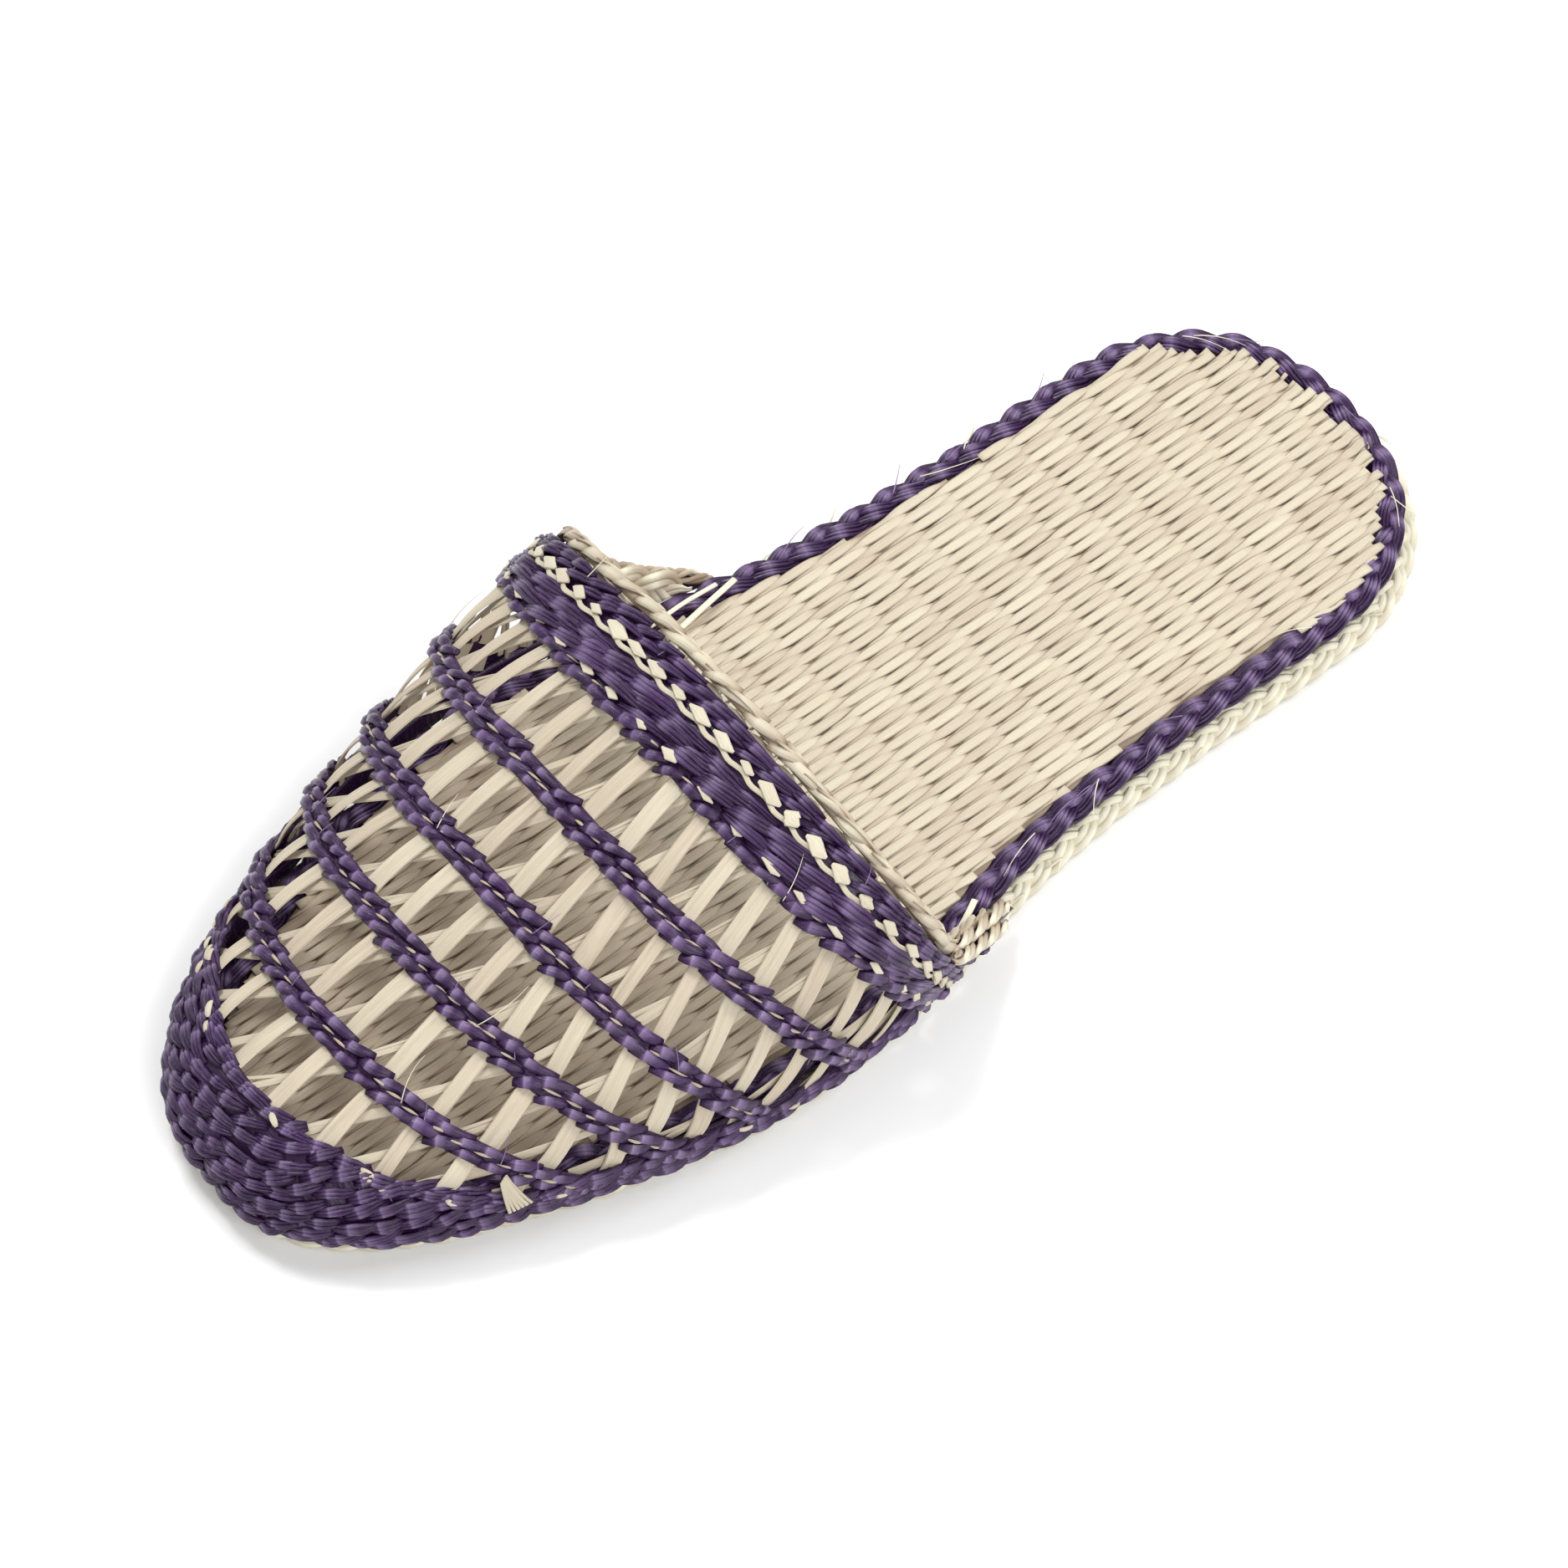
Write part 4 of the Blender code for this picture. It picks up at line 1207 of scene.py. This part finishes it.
def make_straw(name, colours, finish, fibre_group, tone_group):
    """One straw finish; the shader and its constant values stay in the material."""
    material = bpy.data.materials.new(name)
    material.use_nodes = True
    tree = material.node_tree
    place = add_node(tree, "ShaderNodeUVMap", uv_map="strand")
    shade = add_node(tree, "ShaderNodeAttribute", attribute_name="shade")
    crest = add_node(tree, "ShaderNodeAttribute", attribute_name="crest")
    fibres = add_node(tree, "ShaderNodeGroup", node_tree=fibre_group, inputs={
        "Vector": place.outputs["UV"], "Along": finish.along, "Across": finish.across})
    streak = fibres.outputs["Streak"]
    tones = add_node(tree, "ShaderNodeGroup", node_tree=tone_group, inputs={
        **colours, "Streak": streak, "Patch": fibres.outputs["Patch"],
        "Shade": shade.outputs["Fac"], "Crest": crest.outputs["Fac"],
        "Contrast": finish.contrast, "Sheen": finish.sheen, "Glint": finish.glint})
    rough = math_node(tree, "MULTIPLY_ADD", streak, -ROUGHNESS_RANGE,
                      finish.roughness + ROUGHNESS_RANGE / 2)
    bump = add_node(tree, "ShaderNodeBump", {
        "Strength": finish.bump, "Distance": FIBRE_DEPTH, "Height": streak})
    shader = tree.nodes["Principled BSDF"].inputs
    feed(tree, shader["Base Color"], tones.outputs["Colour"])
    feed(tree, shader["Roughness"], rough)
    feed(tree, shader["Normal"], bump.outputs["Normal"])
    feed(tree, shader["Specular IOR Level"], finish.specular)


def colour(name, description, default):
    return bpy.props.FloatVectorProperty(name=name, description=description, default=default,
                                         subtype="COLOR", size=3, min=0.0, max=1.0)


def length(name, description, default, least):
    return bpy.props.FloatProperty(name=name, description=description, default=default,
                                   unit="LENGTH", min=least)


class SandalColours(bpy.types.PropertyGroup):
    """Colours of the straw and the floor"""

    natural: colour("Natural straw", "Middle tone of the undyed straw", (0.475, 0.418, 0.30))
    natural_light: colour("Natural straw, light", "Lightest undyed straw", (0.74, 0.69, 0.53))
    natural_dark: colour("Natural straw, dark", "Darkest undyed straw", (0.46, 0.338, 0.262))
    # Painted shade, laid over the undyed straw where it lies low in the weave
    natural_recess_shade: colour("Natural straw, deep", "Undyed straw deep in the weave",
                         (0.27, 0.172, 0.11))
    # Painted highlight, laid over the undyed straw where it bulges most
    natural_gleam: colour("Natural straw, gleam", "Undyed straw where it bulges most",
                          (0.93, 0.90, 0.73))
    purple: colour("Purple straw", "Middle tone of the dyed straw", (0.022, 0.004, 0.038))
    purple_light: colour("Purple straw, light", "Lightest dyed straw", (0.080, 0.029, 0.130))
    purple_dark: colour("Purple straw, dark", "Darkest dyed straw", (0.019, 0.004, 0.030))
    # Painted shade, laid over the dyed straw where it lies low in the twining
    purple_recess_shade: colour("Purple straw, deep", "Dyed straw deep in the twining",
                        (0.026, 0.0062, 0.038))
    # Painted highlight, laid over the dyed straw where it bulges most
    purple_gleam: colour("Purple straw, gleam", "Dyed straw where it bulges most",
                         (0.42, 0.30, 0.54))
    floor: colour("Floor", "Colour of the studio floor", (0.93, 0.93, 0.93))


class SandalWeave(bpy.types.PropertyGroup):
    """Sizes of the weave"""

    insole_pitch: length(
        "Insole pitch", "Distance between the lengthwise straws of the insole", 0.0012, 0.0005)
    insole_row: length(
        "Insole row", "Distance between the hidden cross rows of the insole", 0.0087, 0.002)
    plait_period: length(
        "Sole plait", "Length in which a plait round the sole repeats", 0.0225, 0.01)
    cap_row: length(
        "Toe cap row", "Distance between the twined rows of the toe cap", 0.0023, 0.001)
    diamond_pitch: length(
        "Collar diamonds", "Distance between the natural diamonds of the collar", 0.0059, 0.003)


class SANDAL_OT_finishes(bpy.types.Operator):
    """Make the natural and the purple straw"""

    bl_idname = "sandal.finishes"
    bl_label = "Straw finishes"

    def execute(self, context):
        panel = context.scene.sandal_colours
        groups = (make_fibre_group(), make_tone_group())
        for name, finish in FINISHES.items():
            dye = name.split()[0]
            colours = {tone: (*getattr(panel, dye + part), 1.0) for tone, part in TONES.items()}
            make_straw(name, colours, finish, *groups)
        return {"FINISHED"}


class SANDAL_OT_insole(bpy.types.Operator):
    """Weave the insole"""

    bl_idname = "sandal.insole"
    bl_label = "Insole"

    def execute(self, context):
        sizes = context.scene.sandal_weave
        bundle = Bundle(11)
        weave_mat(bundle, Mat(
            out=-5.7, face_z=INSOLE_TOP + 0.25, back_z=INSOLE_BOTTOM, side=1,
            pitch=sizes.insole_pitch / MM, row=sizes.insole_row / MM, turn=MAT_TURN,
            drop=0.6, half_thick=0.26, step=1.3, ragged=2.6, spread=0.3))
        bundle.make("insole_weave", NATURAL, "insole")
        return {"FINISHED"}


class SANDAL_OT_outsole(bpy.types.Operator):
    """Weave the outsole"""

    bl_idname = "sandal.outsole"
    bl_label = "Outsole"

    def execute(self, context):
        bundle = Bundle(12)
        weave_mat(bundle, Mat(
            out=-3.4, face_z=0.02, back_z=OUTSOLE_TOP, side=-1, pitch=1.7, row=9.0,
            turn=MAT_TURN, drop=0.8, half_thick=0.6, step=1.5, ragged=0.0, spread=0.2))
        bundle.make("outsole_weave", NATURAL, "outsole")
        return {"FINISHED"}


class SANDAL_OT_sole_plaits(bpy.types.Operator):
    """Plait the two edges of the sole"""

    bl_idname = "sandal.sole_plaits"
    bl_label = "Sole plaits"

    def execute(self, context):
        period = context.scene.sandal_weave.plait_period / MM
        for edge in SOLE_PLAITS:
            bundle = Bundle(edge.seed)
            path, around = sole_path(edge.out, edge.z, 0.9)
            up = np.tile(UP, (len(path), 1))
            side, _ = axes(path, up, closed=True)
            up = unit(up - side * edge.lean)
            plait(bundle, path, up, round(around / (period * edge.repeat)), edge.kind, closed=True)
            bundle.make(edge.piece, edge.finish, edge.node)
        return {"FINISHED"}


class SANDAL_OT_upper(bpy.types.Operator):
    """Lay the crossing ribbons of the upper"""

    bl_idname = "sandal.upper"
    bl_label = "Upper ribbons"

    def execute(self, context):
        bundle = Bundle(15)
        for (front, rear), row in zip(woven_lines(), WOVEN_ROWS):
            middle = (np.arange(-10, 10) + 0.5) * row.pitch
            jitter = bundle.rng.uniform(-RIBBON_JITTER, RIBBON_JITTER, (6, len(middle)))
            at_front = middle * WIDE_FAN.front + row.shift + jitter[0]
            at_rear = middle * WIDE_FAN.rear + row.shift + jitter[1]
            ribbons_between(bundle, front, rear, at_front, at_rear, WIDE_RIBBON)
            at_front = at_front + row.pitch * THIN_LEAN.front + jitter[2]
            at_rear = at_rear - row.pitch * THIN_LEAN.rear + jitter[3]
            ribbons_between(bundle, front, rear, at_front, at_rear, THIN_RIBBON)
            some = bundle.rng.uniform(size=len(middle)) < FINE_SHARE
            at_front = at_front + FINE_BESIDE.front + jitter[4]
            at_rear = at_rear - FINE_BESIDE.rear + 2 * jitter[5]
            ribbons_between(bundle, front, rear, at_front[some], at_rear[some], FINE_RIBBON)
        bundle.make("upper_ribbons", NATURAL, "upper", crisp=True)
        return {"FINISHED"}


class SANDAL_OT_toe_cap(bpy.types.Operator):
    """Twine the toe cap and its rand"""

    bl_idname = "sandal.toe_cap"
    bl_label = "Toe cap"

    def execute(self, context):
        bundle = Bundle(16)
        add_cap_backing(bundle)
        levels = np.arange(*CAP_LEVELS, context.scene.sandal_weave.cap_row / MM)
        for path, up in cap_rows(levels):
            float_row(bundle, path, up, CAP_FLOATS, bundle.rng.uniform())
        path, up = rand_edge(0.9, CAP_STEP)
        core(bundle, path, up, 1.0, 0.5)
        float_row(bundle, path, up, CAP_BORDER, 0.5)
        bundle.make("toe_cap_twining", PURPLE, "toe_cap")
        return {"FINISHED"}


class SANDAL_OT_bands(bpy.types.Operator):
    """Twine the four bands across the upper"""

    bl_idname = "sandal.bands"
    bl_label = "Bands"

    def execute(self, context):
        for index, band in enumerate(BANDS):
            bundle = Bundle(20 + index)
            path, up, _ = along_line(band, band.rand * 0.5, 1.0)
            core(bundle, path, up, 0.9, 0.5)
            for across in BAND_ROWS:
                path, up, _ = along_line(shifted(band, across), band.rand * 0.5, 1.0)
                core(bundle, path, up, 0.95, 0.45)
                float_row(bundle, path, up, BAND_FLOATS, bundle.rng.uniform())
            node = "band_%d" % (index + 1)
            bundle.make(node + "_twining", PURPLE, node)
        return {"FINISHED"}


class SANDAL_OT_collar(bpy.types.Operator):
    """Twine the collar cuff"""

    bl_idname = "sandal.collar"
    bl_label = "Collar cuff"

    def execute(self, context):
        bundle = Bundle(30)
        add_cuff_backing(bundle)
        for share, floats in CUFF_ROWS:
            path, up, _ = along_line(blend(COLLAR_FRONT, CUFF_REAR, share), 0.8, 1.0)
            float_row(bundle, path, up, floats, bundle.rng.uniform())
        for sweep in CORNER_SWEEPS:
            line = blend(COLLAR_FRONT, COLLAR_REAR._replace(sweep=sweep), CORNER_SHARE)
            path, up, offsets = along_line(line, 0.5, 1.0)
            for end in both_ends(offsets, CORNER_LENGTH):
                float_row(bundle, path[end], up[end], CUFF_CORNER_FLOATS, 0.5)
        bundle.make("collar_cuff_twining", PURPLE, "collar_cuff")
        return {"FINISHED"}


class SANDAL_OT_collar_plait(bpy.types.Operator):
    """Plait the edge of the collar"""

    bl_idname = "sandal.collar_plait"
    bl_label = "Collar plait"

    def execute(self, context):
        bundle = Bundle(31)
        path, normals, _ = along_line(CUFF_REAR, 1.2, 0.8, -WALL / 2)
        back, _ = axes(path, normals)
        middle = path + back * STRAP_BACK
        # The strand under the strap is painted dark, as shade between its floats
        bundle.strand(middle, normals, 1.2, 0.9, ROUND, 0.2, 0.25)
        for face in (normals, unit(back + 0.35 * normals), unit(back - normals)):
            float_row(bundle, middle, face, COLLAR_STRAP, bundle.rng.uniform())
        outside = blend(COLLAR_FRONT, COLLAR_REAR._replace(sweep=ROPE_SWEEP), CORNER_SHARE)
        for line, height in ((COLLAR_REAR, -WALL / 2), (outside, CORNER_ROPE_HEIGHT)):
            path, normals, offsets = along_line(line, 1.5, 0.7, height)
            for end in both_ends(offsets, CORNER_ROPE_LENGTH):
                rope(bundle, path[end], normals[end], CORNER_ROPE)
        inner = blend(COLLAR_FRONT, COLLAR_REAR, INNER_PLAIT_SHARE)
        path, normals, _ = along_line(inner, 2.5, 0.9, -INNER_PLAIT_DEPTH)
        periods = round(distance_along(path)[-1] / COLLAR_PLAIT_PERIOD)
        plait(bundle, path, -normals, periods, COLLAR_PLAIT)
        bundle.make("collar_plait", NATURAL, "collar_edge_braid")
        return {"FINISHED"}


class SANDAL_OT_straw_ends(bpy.types.Operator):
    """Set the natural straws that show between the purple rows"""

    bl_idname = "sandal.straw_ends"
    bl_label = "Natural straw ends"

    def execute(self, context):
        bundle = Bundle(40)
        add_collar_checks(bundle, context.scene.sandal_weave.diamond_pitch / MM)
        add_band_dashes(bundle)
        add_cap_bits(bundle)
        add_frayed_end(bundle)
        bundle.make("straw_ends", NATURAL, crisp=True)
        return {"FINISHED"}


class SANDAL_OT_fibres(bpy.types.Operator):
    """Add the loose fibres and straw tips"""

    bl_idname = "sandal.fibres"
    bl_label = "Loose fibres"

    def execute(self, context):
        natural = Bundle(50)
        purple = Bundle(51)
        bundles = {NATURAL: natural, PURPLE: purple}
        edge, _ = sole_path(-3.0, 9.1, 2.0)
        for finish, count, reach in EDGE_FIBRES:
            bundle = bundles[finish]
            for at in bundle.rng.uniform(0.0, len(edge) * EDGE_SPAN, count) + len(edge) * EDGE_FROM:
                spot = edge[int(at) % len(edge)]
                ahead = edge[(int(at) + 2) % len(edge)] - spot
                hair(bundle, spot, ahead, bundle.rng.uniform(*reach))
        for line in BANDS + (COLLAR_FRONT, blend(COLLAR_FRONT, CUFF_REAR, 0.8)):
            row = line_run(line)
            sides = row.sides()
            for finish, count, reach in ROW_FIBRES:
                bundle = bundles[finish]
                for at in bundle.rng.uniform(*ROW_SPAN, count):
                    i = int(at * len(row.points))
                    hair(bundle, row.points[i] + row.normals[i] * ROW_HAIR_HEIGHT, sides[i],
                         bundle.rng.uniform(*reach), row.normals[i], ROW_HAIR_RADIUS)
        outer, _ = sole_path(1.4, 3.2, 2.0)
        bundle = bundles[TIPS.finish]
        for at in bundle.rng.integers(0, len(outer), TIPS.count):
            ahead = outer[(at + 2) % len(outer)] - outer[at]
            hair(bundle, outer[at], ahead, bundle.rng.uniform(*TIPS.reach), radius=TIP_RADIUS)
        t = np.linspace(0.0, 1.0, 12)
        for *ends, half_width in COLLAR_ENDS:
            path = softened(read_at(t, np.linspace(0.0, 1.0, 3), np.array(ends)), 6)
            # Their full crest lays the painted highlight over the whole straw
            natural.strand(path, np.tile(UP, (len(t), 1)), half_width, 0.25, FLAT, 0.6)
        natural.make("loose_fibres_natural", NATURAL)
        purple.make("loose_fibres_purple", PURPLE)
        return {"FINISHED"}


def aimed(spot, aim):
    """Turn of a light or camera at a spot that looks at its aim."""
    return (Vector(aim) - Vector(spot)).to_track_quat("-Z", "Y").to_euler()


def add_floor(scene):
    """A pale paper floor with a faint mottle."""
    mesh = bpy.data.meshes.new("floor")
    h = FLOOR_HALF
    mesh.from_pydata([(-h, -h, 0), (h, -h, 0), (h, h, 0), (-h, h, 0)], [], [(0, 1, 2, 3)])
    floor = bpy.data.objects.new("floor", mesh)
    scene.collection.objects.link(floor)
    material = bpy.data.materials.new("floor paper")
    material.use_nodes = True
    tree = material.node_tree
    shader = tree.nodes["Principled BSDF"].inputs
    shader["Roughness"].default_value = 0.9
    where = add_node(tree, "ShaderNodeTexCoord")
    noise = add_node(tree, "ShaderNodeTexNoise", {"Vector": where.outputs["Object"], "Scale": 3.0})
    plain = (*scene.sandal_colours.floor, 1.0)
    paler = tuple(min(1.0, value * 1.02) for value in plain)
    feed(tree, shader["Base Color"], mix_node(tree, noise.outputs["Fac"], plain, paler))
    mesh.materials.append(material)


class SANDAL_OT_stage(bpy.types.Operator):
    """Set the floor, the lights and the camera"""

    bl_idname = "sandal.stage"
    bl_label = "Studio stage"

    def execute(self, context):
        scene = context.scene
        add_floor(scene)
        world = bpy.data.worlds.new("studio")
        scene.world = world
        world.use_nodes = True
        background = world.node_tree.nodes["Background"].inputs
        background["Color"].default_value = (1.0, 1.0, 1.0, 1.0)
        background["Strength"].default_value = WORLD_STRENGTH
        for kind in LIGHTS:
            light = bpy.data.lights.new(kind.name, "AREA")
            light.size = kind.size
            light.energy = kind.power
            lamp = bpy.data.objects.new(kind.name, light)
            lamp.location = kind.spot
            lamp.rotation_euler = aimed(kind.spot, (0.0, 0.0, 0.0))
            scene.collection.objects.link(lamp)
        camera = bpy.data.cameras.new("camera")
        camera.sensor_width = CAMERA_SENSOR
        camera.lens = CAMERA_LENS
        camera.clip_end = CAMERA_REACH
        view = bpy.data.objects.new("camera", camera)
        view.location = CAMERA_SPOT
        view.rotation_euler = aimed(CAMERA_SPOT, CAMERA_AIM)
        scene.collection.objects.link(view)
        scene.camera = view
        scene.view_settings.view_transform = "Standard"
        return {"FINISHED"}


OPERATORS = (
    SANDAL_OT_finishes,
    SANDAL_OT_insole,
    SANDAL_OT_outsole,
    SANDAL_OT_sole_plaits,
    SANDAL_OT_upper,
    SANDAL_OT_toe_cap,
    SANDAL_OT_bands,
    SANDAL_OT_collar,
    SANDAL_OT_collar_plait,
    SANDAL_OT_straw_ends,
    SANDAL_OT_fibres,
    SANDAL_OT_stage,
)


class SANDAL_PT_panel(bpy.types.Panel):
    """Lists the pieces of the sandal"""

    bl_idname = "SANDAL_PT_panel"
    bl_label = "Straw Slide Sandal"
    bl_space_type = "VIEW_3D"
    bl_region_type = "UI"
    bl_category = "Sandal"

    def draw(self, context):
        column = self.layout.column()
        for group in (context.scene.sandal_colours, context.scene.sandal_weave):
            for name in group.__annotations__:
                column.prop(group, name)
        for operator in OPERATORS:
            column.operator(operator.bl_idname)


CLASSES = (SandalColours, SandalWeave) + OPERATORS + (SANDAL_PT_panel,)


def register():
    for cls in CLASSES:
        bpy.utils.register_class(cls)
    bpy.types.Scene.sandal_colours = bpy.props.PointerProperty(type=SandalColours)
    bpy.types.Scene.sandal_weave = bpy.props.PointerProperty(type=SandalWeave)


def unregister():
    del bpy.types.Scene.sandal_weave
    del bpy.types.Scene.sandal_colours
    for cls in reversed(CLASSES):
        bpy.utils.unregister_class(cls)


def main():
    register()
    for operator in OPERATORS:
        group, name = operator.bl_idname.split(".")
        getattr(getattr(bpy.ops, group), name)()


if __name__ == "__main__":
    main()
